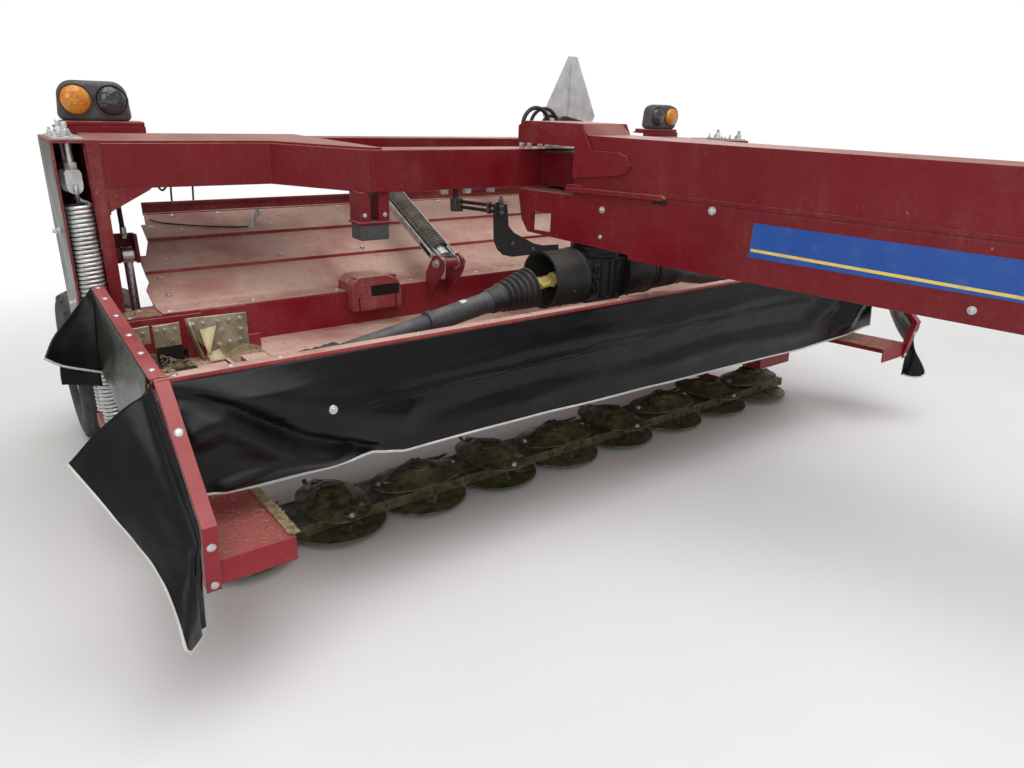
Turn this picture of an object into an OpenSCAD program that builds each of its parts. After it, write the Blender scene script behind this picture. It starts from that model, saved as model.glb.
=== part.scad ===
// Trailed disc mower conditioner with a swinging tongue over a trail frame.
// Millimetres. Z up, -Y forward (cutting side), X across the machine.

/* [Row] */
// Offset of the row origin across the machine
origin_x = 0; // [-200:0.1:200]
// Offset of the row origin along the machine
origin_y = -1343.6; // [-2500:0.1:500]

/* [Trail frame] */
// Nose down pitch of frame and tongue, degrees
frame_pitch = 4; // [0:0.5:8]
// Height of the frame's top face over the cutterbar
frame_z = 1465; // [1300:1:1600]
// Depth of a frame beam from top to bottom
beam_h = 155; // [120:1:200]
// Thickness of a frame beam along the machine
beam_t = 150; // [100:1:200]
// Front face of the side beams
side_y = 392; // [300:1:500]
// Front face of the middle beam
mid_y = 0; // [-50:1:100]
// Place of the kink on the side beams
kink_x = 1150; // [1000:1:1300]
// Place of the kink on the middle beam
mid_x = 915; // [800:1:1000]
// Front face of the rear beam
rear_y = 750; // [650:1:850]
// Inner face of a leg
leg_x = 1738; // [1700:1:1760]
// Width of a leg's inner box
leg_w = 42; // [40:1:80]
// Inner face of a leg's outer plate
leg_out = 1876; // [1850:1:1920]
// Thickness of a leg's outer plate
leg_t = 8; // [6:1:16]
// Rear face of the legs
leg_back = 900; // [850:1:1000]

/* [Wheels] */
// Radius of a tyre
tyre_r = 395; // [350:1:450]
// Width of a tyre
tyre_w = 345; // [250:1:400]
// Radius of a rim
rim_r = 205; // [180:1:230]
// Middle of a tyre across the machine
wheel_x = 1690; // [1600:1:1750]
// Axle place along the machine
wheel_y = 1700; // [1500:1:1900]
// Radius of a spindle
spindle_r = 30; // [20:1:45]

/* [Tongue] */
// Swing of the tongue to the side, degrees
tongue_swing = 12.1; // [-30:0.1:30]
// Pivot place along the machine, in the frame
pivot_y = -280; // [-300:1:100]
// Radius of the pivot pin
pivot_r = 45; // [30:1:60]
// Radius of the pivot housing
housing_r = 100; // [80:1:130]
// Width of the tongue
tongue_w = 300; // [250:1:350]
// Top of the tongue, in the frame
tongue_top = 1538; // [1500:1:1600]
// Bottom of the tongue's box, in the frame
tongue_bot = 1331; // [1300:1:1400]
// Bottom of the tongue's skirt, in the frame
skirt_bot = 1086; // [1000:1:1200]
// Length of the straight box
tongue_len = 3200; // [2500:1:3600]
// Reach of the hitch pin from the pivot
hitch_len = 4450; // [4000:1:5000]
// Height of the hitch in the frame
hitch_z = 860; // [700:1:1000]
// Radius of the hitch pin hole
hitch_r = 18; // [12:1:26]

/* [Header] */
// Number of discs
disc_count = 9; // [5:1:9]
// Distance between discs
disc_pitch = 390; // [350:1:420]
// Radius swept by the knives
knife_r = 245; // [220:1:260]
// Half width of the header over its end strips
header_x = 1835; // [1700:1:1900]
// Height of the front rail's top
rail_z = 884; // [800:1:950]
// Front face of the front rail
rail_y = -525; // [-600:1:-450]
// Height of the floor sheet
floor_z = 735; // [650:1:800]
// Half width of the deck
deck_x = 1500; // [1300:1:1600]
// Length of the links between frame and header
link_len = 700; // [500:1:900]
// Fall of the links towards the header, degrees
link_fall = 28; // [10:1:35]
// Radius of the conditioner rolls
roll_r = 124; // [90:1:140]
// Radius of a roll's shaft
shaft_r = 25; // [15:1:35]

/* [Hidden] */
$fn = 48;
e = 0.05;
beam_bot = frame_z - beam_h;
red = [0.55, 0.03, 0.06];
dark = [0.12, 0.12, 0.13];
black = [0.05, 0.05, 0.06];
olive = [0.30, 0.29, 0.16];
steel = [0.62, 0.63, 0.64];
yellow = [0.85, 0.68, 0.12];
amber = [0.95, 0.50, 0.05];
disc_x0 = -(disc_count - 1) / 2 * disc_pitch;
disc_z = 100;
link_dy = link_len * cos(link_fall);
link_dz = link_len * sin(link_fall);
low_pin = [980, 660];
low_head = [low_pin[0] - link_dy, low_pin[1] - link_dz];
top_head = [220, 980];
top_pin = [top_head[0] + link_dy, top_head[1] + link_dz];
cyl_top = [700, 1070];
cyl_low = [700, 511];
link_x = 1660;
top_link_x = -445;
pin_r = 20;
rod_r = 17;
spring_x = 1829;
spring_y = [440, 600];
arm_z = 455;
spring_low = arm_z + 0.3;
spring_top = 1290;
gap = 0.3;
sheet_t = 5.5;
side_in = deck_x - 12;
side_out = deck_x - 2;
deck_front = 335;
roll_at = [[700, 640], [560, 420]];
head_x = header_x - 6;
box_front = -120;
box_rear = 300;
box_z = 700;
bell_z = 968;
bell_r = 118;
bell_x = 292;
swivel_z = 1075;
out_y = pivot_y * cos(frame_pitch) - (bell_z - frame_z) * sin(frame_pitch);
out_z = frame_z + pivot_y * sin(frame_pitch) + (bell_z - frame_z) * cos(frame_pitch);
out_x = 200;
far_x = 1380;
far_z = 752;
lift = 13;
axle_y = wheel_y;
axle_z = tyre_r;

// Node to show, or all

module to_row() translate([-origin_x, -origin_y, 0]) children();
module in_frame() translate([0, 0, frame_z]) rotate([frame_pitch, 0, 0]) translate([0, 0, -frame_z])
  children();
module on_frame() to_row() in_frame() children();
module on_tongue() on_frame() translate([0, pivot_y, 0]) rotate([0, 0, tongue_swing]) children();
module both() {
  children();
  mirror([1, 0, 0]) children();
}
// box from a low corner to a high corner
module bx(a, b) translate(a) cube([b[0] - a[0], b[1] - a[1], b[2] - a[2]]);
// plate in the side plane from x0 to x1 with an outline of [y, z] points
module side(x0, x1, pts) translate([x0, 0, 0]) rotate([90, 0, 90]) linear_extrude(x1 - x0) polygon(pts);
// plate in plan from z0 to z1 with an outline of [x, y] points
module plan(z0, z1, pts) translate([0, 0, z0]) linear_extrude(z1 - z0) polygon(pts);
// round bar across the machine from x0 to x1 at [y, z]
module bar(x0, x1, at, r) translate([x0, at[0], at[1]]) rotate([0, 90, 0]) cylinder(h = x1 - x0, r = r);
// strap from one [y, z] point to another, with a half width
function strap_n(p, q, w) = [-(q[1] - p[1]), q[0] - p[0]] / norm(q - p) * w;
module strap(x0, x1, p, q, w) side(x0, x1, [p + strap_n(p, q, w), q + strap_n(p, q, w), q - strap_n(p, q, w),
  p - strap_n(p, q, w)]);
// place in the row of a point on the tongue
function sw_x(p) = p[0] * cos(tongue_swing) - p[1] * sin(tongue_swing);
function sw_y(p) = pivot_y + p[0] * sin(tongue_swing) + p[1] * cos(tongue_swing);
function row_y(p) = sw_y(p) * cos(frame_pitch) - (p[2] - frame_z) * sin(frame_pitch);
function row_z(p) = frame_z + sw_y(p) * sin(frame_pitch) + (p[2] - frame_z) * cos(frame_pitch);
// round bar between two points
module rod(a, b, r) {
  d = b - a;
  l = norm(d);
  translate(a) rotate([0, acos(d[2] / l), atan2(d[1], d[0])]) cylinder(h = l, r = r);
}

// trail frame
function front_half() = [[leg_x, side_y], [kink_x, side_y], [mid_x, mid_y], [-mid_x, mid_y],
  [-kink_x, side_y], [-leg_x, side_y], [-leg_x, side_y + beam_t], [-kink_x + 30, side_y + beam_t],
  [-mid_x + 40, mid_y + beam_t], [mid_x - 40, mid_y + beam_t], [kink_x - 30, side_y + beam_t],
  [leg_x, side_y + beam_t]];

module front_beam() color(red) on_frame() {
  difference() {
    union() {
      plan(beam_bot, frame_z, front_half());
      bx([-80, pivot_y, beam_bot + 8], [80, mid_y + 20, frame_z - 8]);
      translate([0, pivot_y, beam_bot - 2]) cylinder(h = beam_h + 14, r = housing_r);
    }
    translate([0, pivot_y, beam_bot - 10]) cylinder(h = beam_h + 40, r = pivot_r + e);
  }
}

// rear beam with the top plates and the ears of the top link's upper pin
module rear_beam() color(red) {
  on_frame() {
    bx([-leg_x, rear_y, beam_bot], [leg_x, rear_y + beam_t, frame_z]);
    for (s = [-1, 1]) plan(frame_z, frame_z + 8, [[s * leg_x, side_y + 6], [s * (kink_x - 10), side_y + 6],
      [s * (mid_x - 10), mid_y + 6], [s * (mid_x - 60), mid_y + 6], [s * (mid_x - 60), rear_y + beam_t - 6],
      [s * leg_x, rear_y + beam_t - 6]]);
  }
  to_row() translate([top_link_x, 0, 0]) {
    for (x = [-58, 46]) side(x, x + 12, [[790, 1374], [893, 1380], [880, 1290], [838, 1270], [800, 1290]]);
    bar(-64, 64, top_pin, pin_r);
  }
}

leg_side = [[side_y, frame_z], [side_y, 850], [850, 520], [1250, 520], [1300, 560], [1300, 680],
  [leg_back, 900], [leg_back, frame_z]];

module trail_legs() color(red) to_row() both() {
  difference() {
    in_frame() {
      side(leg_x, leg_x + leg_w, leg_side);
      side(leg_out, leg_out + leg_t, [[side_y, frame_z + 10], [side_y, 850], [600, 640], [732, 640],
        [732, frame_z + 10]]);
      bx([leg_x + leg_w - 1, 720, 640], [leg_out + 1, 732, frame_z + 1]);
      bx([leg_x, side_y, frame_z], [leg_out + 1, 732, frame_z + 10]);
      translate([0, side_y + 12, 0]) rotate([90, 0, 0]) linear_extrude(12)
        polygon([[leg_x + 1, beam_bot], [leg_x - 150, beam_bot], [leg_x - 140, beam_bot - 8],
          [leg_x + 1, beam_bot - 82]]);
    }
    for (y = spring_y) translate([spring_x, y, frame_z - 30]) cylinder(h = 120, r = 13);
  }
  // pins of the lower link and of the cylinder
  bar(link_x - 34, leg_x + 5, low_pin, pin_r);
  bar(link_x - 36, link_x - 27, low_pin, 30);
  bar(link_x + 27, leg_x + 5, low_pin, 34);
  bar(link_x - 42, leg_x + 5, cyl_top, pin_r);
  bar(link_x + 26, leg_x + 5, cyl_top, 32);
  side(link_x - 42, link_x - 30, [[680, 1036], [760, 1036], [760, 1150], [672, 1150], [664, 1070]]);
  bx([link_x - 42, 748, 1036], [leg_x + 5, 760, 1150]);
}

module wheel_arms() color(red) to_row() both() {
  in_frame() {
    bar(1400, leg_x, [1235, 600], 52);
    side(1400, 1478, [[1180, 560], [1190, 660], [1290, 660], [1670, 345], [1690, 250], [1570, 225]]);
  }
  bar(1440, wheel_x + 60, [axle_y, axle_z], spindle_r);
}

module wheel_tyre(s) color(black) to_row() translate([s * wheel_x, axle_y, axle_z]) rotate([0, s * 90, 0])
  rotate_extrude() {
    polygon([[rim_r - 4, -131.5], [rim_r + 9, -131.5], [rim_r + 13, -150], [300, -tyre_w / 2],
      [355, -tyre_w / 2 + 8], [tyre_r - 8, -tyre_w / 2 + 40], [tyre_r, -100], [tyre_r, 100],
      [tyre_r - 8, tyre_w / 2 - 40], [355, tyre_w / 2 - 8], [300, tyre_w / 2], [rim_r + 13, 150],
      [rim_r + 9, 131.5], [rim_r - 4, 131.5]]);
  }

module wheel_rim(s) color(yellow) to_row() translate([s * wheel_x, axle_y, axle_z]) rotate([0, s * 90, 0])
  rotate_extrude() {
    polygon([[spindle_r + e, -60], [75, -60], [75, 20], [150, 30], [185, 10], [185, -120], [190, -140],
      [rim_r + 8, -140], [rim_r + 8, -132], [rim_r - 4.5, -132], [rim_r - 4.5, 132], [rim_r + 8, 132],
      [rim_r + 8, 140], [190, 140], [190, 60], [150, 42], [75, 34], [75, 76], [58, 90], [0, 90], [0, 66],
      [spindle_r + e, 66]]);
  }

// float springs, their hangers and caps
module spring_hangers() color(steel) {
  on_frame() both() {
    bx([1784, 405, frame_z + 10], [1874, 640, frame_z + 18]);
    for (y = [430, 590]) {
      translate([spring_x, y, frame_z + 18]) cylinder(h = 26, r = 20, $fn = 6);
      translate([spring_x, y, frame_z + 44]) cylinder(h = 22, r = 11);
    }
  }
  to_row() both() for (y = spring_y) {
    translate([spring_x, y, 1400]) cylinder(h = 100 + y * 0.07, r = 12);
    translate([spring_x - 26, y - 21, 1398]) cube([52, 42, 9]);
    for (t = [-21, 15]) translate([spring_x - 26, y + t, 1325]) cube([52, 6, 80]);
    translate([spring_x, y + 25, 1342]) rotate([90, 0, 0]) cylinder(h = 50, r = 8);
    translate([spring_x, y, spring_top]) cylinder(h = 56, r = 8);
  }
}

module float_springs() color(steel) to_row() both() for (y = spring_y)
  translate([spring_x, y, spring_low]) rotate_extrude() polygon(concat([[0, 0]],
    [for (i = [0:28]) [i % 2 == 0 ? 34 : 42, 10 + i * (spring_top - spring_low - 20) / 28]],
    [[0, spring_top - spring_low]]));

// lamps
lamp_z = 1578;
module lamp_brackets() color(red) on_frame() both() {
  bx([1490, rear_y + beam_t, 1330], [1730, rear_y + beam_t + 6, lamp_z - 80]);
  bx([1480, rear_y + beam_t + 5, lamp_z - 88], [1805, 1000, lamp_z - 80]);
  bx([1480, rear_y + beam_t + 5, lamp_z - 122], [1805, rear_y + beam_t + 11, lamp_z - 86]);
}
module lamp_housings() color(dark) on_frame() both() difference() {
  translate([1640, 915, lamp_z]) rotate([-90, 0, 0]) linear_extrude(70) hull() {
    translate([-85, 60]) circle(r = 20);
    translate([125, 60]) circle(r = 20);
    translate([-60, -35]) circle(r = 50);
    translate([95, -35]) circle(r = 50);
  }
  for (x = [1578, 1715]) translate([x, 905, lamp_z]) rotate([-90, 0, 0]) cylinder(h = 25, r = 52);
}
module lamp_lenses() color(amber) on_frame() both()
  for (x = [1578, 1715]) translate([x, 906, lamp_z]) rotate([-90, 0, 0]) cylinder(h = 24, r1 = 44, r2 = 51);

// rear sign on its post
module rear_sign() color(steel) on_frame() {
  translate([860, 933, 1586]) rotate([90, 0, 0]) linear_extrude(3)
    polygon([[-203, 0], [-185, -32], [185, -32], [203, 0], [32, 320], [-32, 320]]);
  bx([845, 920, 1390], [875, 930, 1866]);
  bx([845, rear_y + beam_t, 1380], [875, 921, 1450]);
}

// hoses arched over the beam and down the left leg
// each loop's place across, radius, tube radius, place along and straight height
hose_loops = [[-52, 72, 9, 100, 92], [12, 78, 8, 122, 84], [72, 62, 8, 142, 70]];
module frame_hoses() color(black) {
  on_frame() {
    for (h = hose_loops) translate([h[0], h[3], frame_z]) {
      translate([0, 0, h[4]]) rotate([90, 0, 0]) rotate_extrude(angle = 180) translate([h[1], 0])
        circle(r = h[2], $fn = 16);
      for (x = [-h[1], h[1]]) translate([x, 0, 0]) cylinder(h = h[4], r = h[2], $fn = 16);
    }
    both() translate([link_x - 36, rear_y - 30, 1100.5]) cylinder(h = frame_z - 1100.5, r = 9);
  }
}

// stop blocks under the middle beam
module stop_blocks() color(red) on_frame() both() {
  for (x = [825, 905]) bx([x, 15, 1198], [x + 45, 105, beam_bot]);
  bx([820, 12, 1190], [955, 108, 1198]);
  bx([828, 18, 1130], [947, 102, 1190]);
}

// tongue
// rear end of the fork and its throat, from the pivot
head_rear = 318;
throat = 23;
module tongue_box() color(red) on_tongue() {
  bx([-tongue_w / 2, -tongue_len, tongue_bot], [tongue_w / 2, throat - 285, tongue_top]);
}

module tongue_head() color(red) on_tongue() difference() {
  union() {
    side(-tongue_w / 2, tongue_w / 2, [[head_rear, 1493], [head_rear, 1560], [head_rear - 40, 1580],
      [throat - 15, 1580], [throat - 55, tongue_top], [throat - 285, tongue_top], [throat - 285, 1331],
      [throat, 1331], [throat, 1493]]);
    both() side(tongue_w / 2 - 1, tongue_w / 2 + 12, [[head_rear, 1493], [head_rear, 1560],
      [head_rear - 40, 1580], [throat - 27, 1580], [throat - 78, 1484], [throat - 209, 1484], [throat - 244, 1472],
      [throat - 266, 1440], [throat - 246, 1412], [throat - 209, 1400], [throat, 1375], [throat, 1493]]);
    bx([-150, throat - 285, 1285], [150, head_rear, 1303]);
    for (x = [-150, 138]) difference() {
      side(x, x + 12, [[head_rear, 1303], [head_rear - 25, 1180], [head_rear - 62, 1127],
        [throat - 285, 1105], [throat - 285, 1332], [throat, 1332], [throat, 1303]]);
      bx([x - 1, head_rear - 187, 1140], [x + 13, head_rear - 91, 1218]);
    }
    translate([0, 0, 1290]) cylinder(h = 230, r = pivot_r);
  }
  translate([0, 0, 1304]) difference() {
    cylinder(h = 188, r = 138);
    translate([0, 0, -1]) cylinder(h = 190, r = pivot_r);
  }
  both() bx([tongue_w / 2 - 2, -tongue_len, 1000], [tongue_w / 2, throat - 285, 1600]);
}

// open channel under the tongue
module tongue_skirt() color(red) on_tongue() {
  for (x = [-150, 142]) side(x, x + 8, [[throat - 285, tongue_bot], [throat - 285, skirt_bot],
    [-tongue_len + 300, skirt_bot], [-tongue_len, tongue_bot - 60], [-tongue_len, tongue_bot]]);
}

// forked neck down to the hitch
module tongue_neck() color(red) on_tongue() {
  for (x = [-150, 80]) side(x, x + 70, [[-tongue_len, tongue_bot], [-tongue_len, tongue_top],
    [-tongue_len - 120, tongue_top], [-hitch_len + 130, hitch_z + 150], [-hitch_len + 130, hitch_z - 10],
    [-hitch_len + 230, hitch_z - 10]]);
  bx([-150, -hitch_len + 10, hitch_z - 10], [150, -hitch_len + 130, hitch_z + 150]);
}

module hitch_clevis() color(dark) on_tongue() difference() {
  union() {
    bx([-70, -hitch_len - 10, hitch_z + 6], [70, -hitch_len + 10, hitch_z + 134]);
    for (z = [20, 95]) translate([0, 0, hitch_z + z]) linear_extrude(25) hull() {
      translate([0, -hitch_len - 150]) circle(r = 50);
      translate([-60, -hitch_len - 20]) square([120, 20]);
    }
  }
  translate([0, -hitch_len - 150, hitch_z]) cylinder(h = 140, r = hitch_r);
}

module tongue_driveline() color(dark) on_tongue() {
  rod([0, -tongue_len + 100, 1210], [0, -700, 1165], 42);
  rod([0, -730, 1165.4], [0, -140, 1165.4], 47);
  rod([0, -tongue_len - 60, 1190], [0, -tongue_len + 100, 1210], 62);
  rod([0, -hitch_len + 10, hitch_z + 260], [0, -tongue_len - 60, 1190], 46);
  rod([0, -hitch_len - 120, hitch_z + 232], [0, -hitch_len + 10, hitch_z + 260], 68);
  bx([-140, -tongue_len + 130, 1255], [140, -tongue_len + 170, tongue_bot]);
  bx([-60, -tongue_len + 130, 1180], [60, -tongue_len + 170, 1256]);
}

jack_at = [215, -3560, 1180];
jack_up = row_z(jack_at);
foot_r = 36;
module on_jack() to_row() translate([sw_x(jack_at), row_y(jack_at), 0]) rotate([0, 0, tongue_swing])
  children();
module jack_tube() color(dark) {
  on_jack() {
    difference() {
      translate([0, 0, 420]) cylinder(h = jack_up - 310, r = 44);
      translate([0, 0, 410]) cylinder(h = jack_up - 320, r = foot_r + e);
    }
    translate([0, 0, jack_up + 110]) cylinder(h = 22, r = 48);
    rod([30, 0, jack_up + 121.3], [120, 0, jack_up + 121.3], 9);
    rod([113, 0, jack_up + 119], [113, 0, jack_up + 215], 12);
  }
  on_tongue() bx([150, jack_at[1] - 50, 1190], [175, jack_at[1] + 50, 1310]);
}
module jack_leg() color(steel) on_jack() {
  translate([0, 0, 8]) cylinder(h = jack_up - 278, r = foot_r);
  cylinder(h = 12, r = 85);
}

// links and cylinders
module lower_link(s) color(red) to_row() translate([s * link_x, 0, 0]) difference() {
  union() {
    strap(-22, 22, low_pin, low_head, 32);
    bar(-22, 22, low_pin, 46);
    bar(-22, 22, low_head, 40);
  }
  for (q = [low_pin, low_head, cyl_low]) bar(-40, 40, q, pin_r + e);
}

module cylinder_barrel(s) color(dark) to_row() translate([s * link_x, 0, 0]) {
  difference() {
    rod([0, cyl_low[0], cyl_low[1] + 60], [0, cyl_low[0], 800], 36);
    rod([0, cyl_low[0], cyl_low[1] + 110], [0, cyl_low[0], 801], rod_r + e);
  }
  for (x = [-42, 28]) side(x, x + 14, [[cyl_low[0] - 30, cyl_low[1] - 30], [cyl_low[0] + 30, cyl_low[1] - 30],
    [cyl_low[0] + 30, cyl_low[1] + 75], [cyl_low[0] - 30, cyl_low[1] + 75]]);
  bx([-42, cyl_low[0] - 30, cyl_low[1] + 55], [42, cyl_low[0] + 30, cyl_low[1] + 75]);
  bar(-42, 42, cyl_low, pin_r);
}

module cylinder_rod(s) color(steel) to_row() translate([s * link_x, 0, 0]) {
  rod([0, cyl_low[0], 710], [0, cyl_top[0], cyl_top[1] - 24], rod_r);
  difference() {
    bar(-20, 20, cyl_top, 34);
    bar(-21, 21, cyl_top, pin_r + 2);
  }
}

module top_link() color(steel) to_row() translate([top_link_x, 0, 0]) {
  difference() {
    union() {
      for (x = [-42, 34]) {
        strap(x, x + 8, top_pin, top_head, 22);
        for (q = [top_head, top_pin]) bar(x, x + 8, q, 30);
      }
      for (k = [0.06, 0.93]) strap(-42, 42, top_pin + (top_head - top_pin) * k,
        top_pin + (top_head - top_pin) * (k + 0.015), 12);
      rod(concat([0], top_pin + (top_head - top_pin) * 0.07),
        concat([0], top_pin + (top_head - top_pin) * 0.94), 29);
    }
    for (q = [top_head, top_pin]) bar(-60, 60, q, pin_r + e);
  }
}

// header
deck_pts = [[deck_front, 888], [470, 888], [700, 990], [712, 1000], [880, 1100], [892, 1112], [1050, 1195],
  [1085, 1195], [1085, 1240], [1091, 1240], [1091, 1189], [1052, 1189], [896, 1104], [884, 1092],
  [716, 992], [704, 982], [472, 882], [deck_front, 882]];
// outline of the deck in plan, wider at the front
deck_plan = [[1630, 300], [1630, 590], [1606, 640], [1606, 712], [1540, 890], [1510, 1070], [1510, 1100]];
module deck_panels() color(red) to_row() intersection() {
  side(-1640, 1640, deck_pts);
  plan(600, 1400, concat(deck_plan, [for (i = [len(deck_plan) - 1:-1:0]) [-deck_plan[i][0], deck_plan[i][1]]]));
}
module deck_channel() color(red) to_row() {
  bx([-1330, deck_front, floor_z + sheet_t], [1330, 455, 882]);
  for (x = [-775, 775]) bx([x - 95, 285, 800], [x + 95, deck_front, 945]);
  // ears of the top link
  translate([top_link_x, 0, 0]) {
    for (x = [-58, 46]) side(x, x + 12, [[deck_front, 800], [deck_front, 882], [330, 930], [264, 1010],
      [220, 1020], [184, 1000], [180, 962], [200, 930], [290, 850]]);
    bar(-64, 64, top_head, pin_r);
  }
}

// trough in the floor for the swivel gearbox and the side drivelines
well_x = 1476;
well_front = -430;
well_rear = -20;
module front_shield() color(red) to_row() {
  difference() {
    bx([-side_in, rail_y + 5, floor_z], [side_in, 460, floor_z + sheet_t]);
    bx([-well_x, well_front, floor_z - 1], [well_x, well_rear, floor_z + sheet_t + 1]);
  }
  difference() {
    bx([-well_x - 5, well_front - 5, 640], [well_x + 5, well_rear + 5, floor_z + 1]);
    bx([-well_x, well_front, 645], [well_x, well_rear, floor_z + 2]);
    both() bar(well_x - 1, well_x + 6, [-55, 712], 20.3);
  }
  bx([-head_x, rail_y, rail_z - 60], [head_x, rail_y + 6, rail_z]);
  bx([-head_x, rail_y + 5, rail_z - 6], [head_x, rail_y + 46, rail_z]);
  bx([-side_in + 10, rail_y + 1, floor_z], [side_in - 10, rail_y + 6, rail_z - 2]);
}

module end_frames() color(red) to_row() both() {
  side(head_x, header_x, [[rail_y + 10, rail_z + 2], [-575, 830], [-835, 575], [-785, 370], [-745, 370],
    [-795, 570], [-540, 815], [-500, 845]]);
  side(head_x + 1, header_x + 6, [[rail_y + 10, rail_z + 2], [360, 1012], [360, 972], [rail_y + 30, 850]]);
  bx([1590, -780, 445], [head_x + 1, box_front, 450]);
  bx([1590, -786, 380], [head_x + 1, -779, 450]);
}

module end_boxes() color(red) to_row() both() {
  difference() {
    bx([side_out, box_front, 200], [1790, box_rear, box_z]);
    bx([side_out + 12, box_front + 12, 190], [1778, box_rear - 12, box_z - 12]);
  }
  // lugs and pin of the lower link
  for (x = [-56, 28]) bx([link_x + x, box_rear - 1, 285], [link_x + x + 28, 400, 378]);
  bar(link_x - 62, link_x + 62, low_head, pin_r);
  // arm under the float springs
  bx([1789, 220, arm_z - 55], [1875, 650, arm_z]);
  plan(874, 882, [[side_out, deck_front], [1770, deck_front], [1770, 416], [1722, 416], [1722, 500],
    [side_out, 500]]);
}

module cutterbar() color(olive) to_row() {
  bx([-1790, -90, 40], [1790, 140, disc_z - 15]);
  for (i = [0:disc_count - 1]) translate([disc_x0 + i * disc_pitch, 0, 80])
    cylinder(h = disc_z + 8 - gap - 80, r = 60);
}

module rock_guards() color(olive) to_row() for (i = [0:disc_count - 1])
  translate([disc_x0 + i * disc_pitch, -40, 31]) difference() {
    union() {
      cylinder(h = 9, r = 191);
      bx([-80, 0, 0], [80, 180, 9]);
    }
    translate([0, 0, -1]) plan(0, 20, [[-60, -30], [0, -120], [60, -30], [40, -30], [0, -90], [-40, -30]]);
  }

module disc(i) color(olive) to_row() translate([disc_x0 + (i - 1) * disc_pitch, 0, disc_z + 8])
  rotate([0, 0, i % 2 == 0 ? 90 : 0]) {
    intersection() {
      cylinder(h = 14, r = 215);
      bx([-215, -135, 0], [215, 135, 14]);
    }
    translate([0, 0, 13]) cylinder(h = 34, r1 = 118, r2 = 70);
    translate([0, 0, 46]) cylinder(h = 14, r = 42);
    for (a = [0, 180]) rotate([0, 0, a]) {
      plan(-5, -1, [[165, -22], [knife_r, -20], [knife_r - 4, 20], [165, 22]]);
      translate([185, 0, -8]) cylinder(h = 28, r = 14);
    }
  }

module conditioner_sides() color(red) to_row() both() difference() {
  side(side_in, side_out, [[140, 45], [140, 85], [252, 85], [252, 165], [145, 165], [145, floor_z],
    [deck_front, floor_z], [deck_front, 882], [472, 882], [704, 982], [716, 992], [884, 1092], [896, 1104],
    [1052, 1189], [1080, 1189], [1080, 500], [900, 200], [400, 45]]);
  for (q = roll_at) bar(side_in - 1, side_out + 1, q, shaft_r + e);
}

module windrow_shields() color(red) to_row() both() {
  plan(500, 1000, [[1340, 1085], [1346, 1085], [1180, 1760], [1174, 1760]]);
  bx([1320, 1080, 880], [side_out, 1092, 980]);
}

module roll(q) translate([0, q[0], q[1]]) rotate([0, 90, 0]) translate([0, 0, -1470]) {
  cylinder(h = 2940, r = roll_r - 14);
  translate([0, 0, -50]) cylinder(h = 3040, r = shaft_r);
  for (a = [0:45:315]) rotate([0, 0, a]) bx([roll_r - 18, -9, 20], [roll_r, 9, 2920]);
}

module roll_upper() color(black) to_row() roll(roll_at[0]);
module roll_lower() color(black) to_row() roll(roll_at[1]);

module end_gearboxes() color(dark) to_row() both() {
  bx([far_x + 10, -310, 660], [1470, -30, 780]);
  bar(1469, side_out, [-55, 712], 20);
  bx([side_out, -80, box_z], [1700, 190, 742]);
  bx([1372, 184, floor_z + sheet_t], [1494, 192, 885]);
  bx([1493, 184, 742], [1588, 192, 885]);
  bx([1610, 184, 741], [1700, 192, 880]);
}

module swivel_gearbox() color(dark) on_frame() {
  translate([0, pivot_y, 862]) cylinder(h = swivel_z - gap - 862, r = 104);
  translate([0, pivot_y, 862]) cylinder(h = 22, r = 125);
  bx([-130, pivot_y - 78, 890], [130, pivot_y + 78, 1046]);
  both() {
    bar(129, out_x - 35 - gap, [pivot_y, bell_z], 28);
    difference() {
      bar(112, bell_x, [pivot_y, bell_z], bell_r);
      bar(130.5, bell_x + 1, [pivot_y, bell_z], bell_r - 8);
    }
  }
}

module gearbox_head() color(dark) on_tongue() {
  translate([0, 0, swivel_z]) cylinder(h = 1285 - swivel_z, r = 88);
  translate([0, 0, swivel_z]) cylinder(h = 20, r = 104);
  rod([0, -140, 1165], [0, -50, 1165], 52);
}

// axis that a side driveline tilts about as the header lifts, from the driveline's direction
function raised(q, c, a) = [c[0] + (q[0] - c[0]) * cos(a) + (q[1] - c[1]) * sin(a),
  c[1] - (q[0] - c[0]) * sin(a) + (q[1] - c[1]) * cos(a)];
head_move = concat([0], raised(low_head, low_pin, lift) - low_head);
function tilt_axis(d) = cross(d, head_move) / norm(cross(d, head_move));
module drive_tube(s) color(dark) to_row() {
  a = [s * out_x, out_y, out_z];
  d = [s * (far_x - out_x), 0, far_z - out_z];
  rod(a - tilt_axis(d) * 20, a + tilt_axis(d) * 20, 33.5);
  rod(a + d * 0.02, a + d * 0.1, 30);
  for (k = [0:4]) rod(a + d * (0.095 + k * 0.024), a + d * (0.113 + k * 0.024), 80 - k * 6);
  rod(a + d * 0.09, a + d * 0.30, 50);
  rod(a + d * 0.29, a + d * 0.86, 38);
  rod(a + d * 0.85, a + d * 0.97, 58);
  rod(a + d * 0.96, a + d * 0.986, 30);
}

module shield_arm() color(black) {
  to_row() {
    translate([0, out_y + 4, 0]) rotate([90, 0, 0]) linear_extrude(8)
      polygon([[-524, 1263], [-462, 1263], [-456, 1180], [-430, 1152], [-330, 1102], [-280, 1090], [-200, 1088],
        [-200, 1068], [-296, 1068], [-300, 1058], [-440, 1058], [-480, 1068], [-508, 1092], [-524, 1130]]);
    bx([-508, out_y - 11, 1222], [-486, out_y + 11, 1270]);
    for (z = [1234, 1256]) rod([-497, out_y, z], [-520, 32, z + 8], 7);
  }
  on_frame() translate([-520, 20, 1222]) cylinder(h = beam_bot - 1222, r = 10);
}

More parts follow.
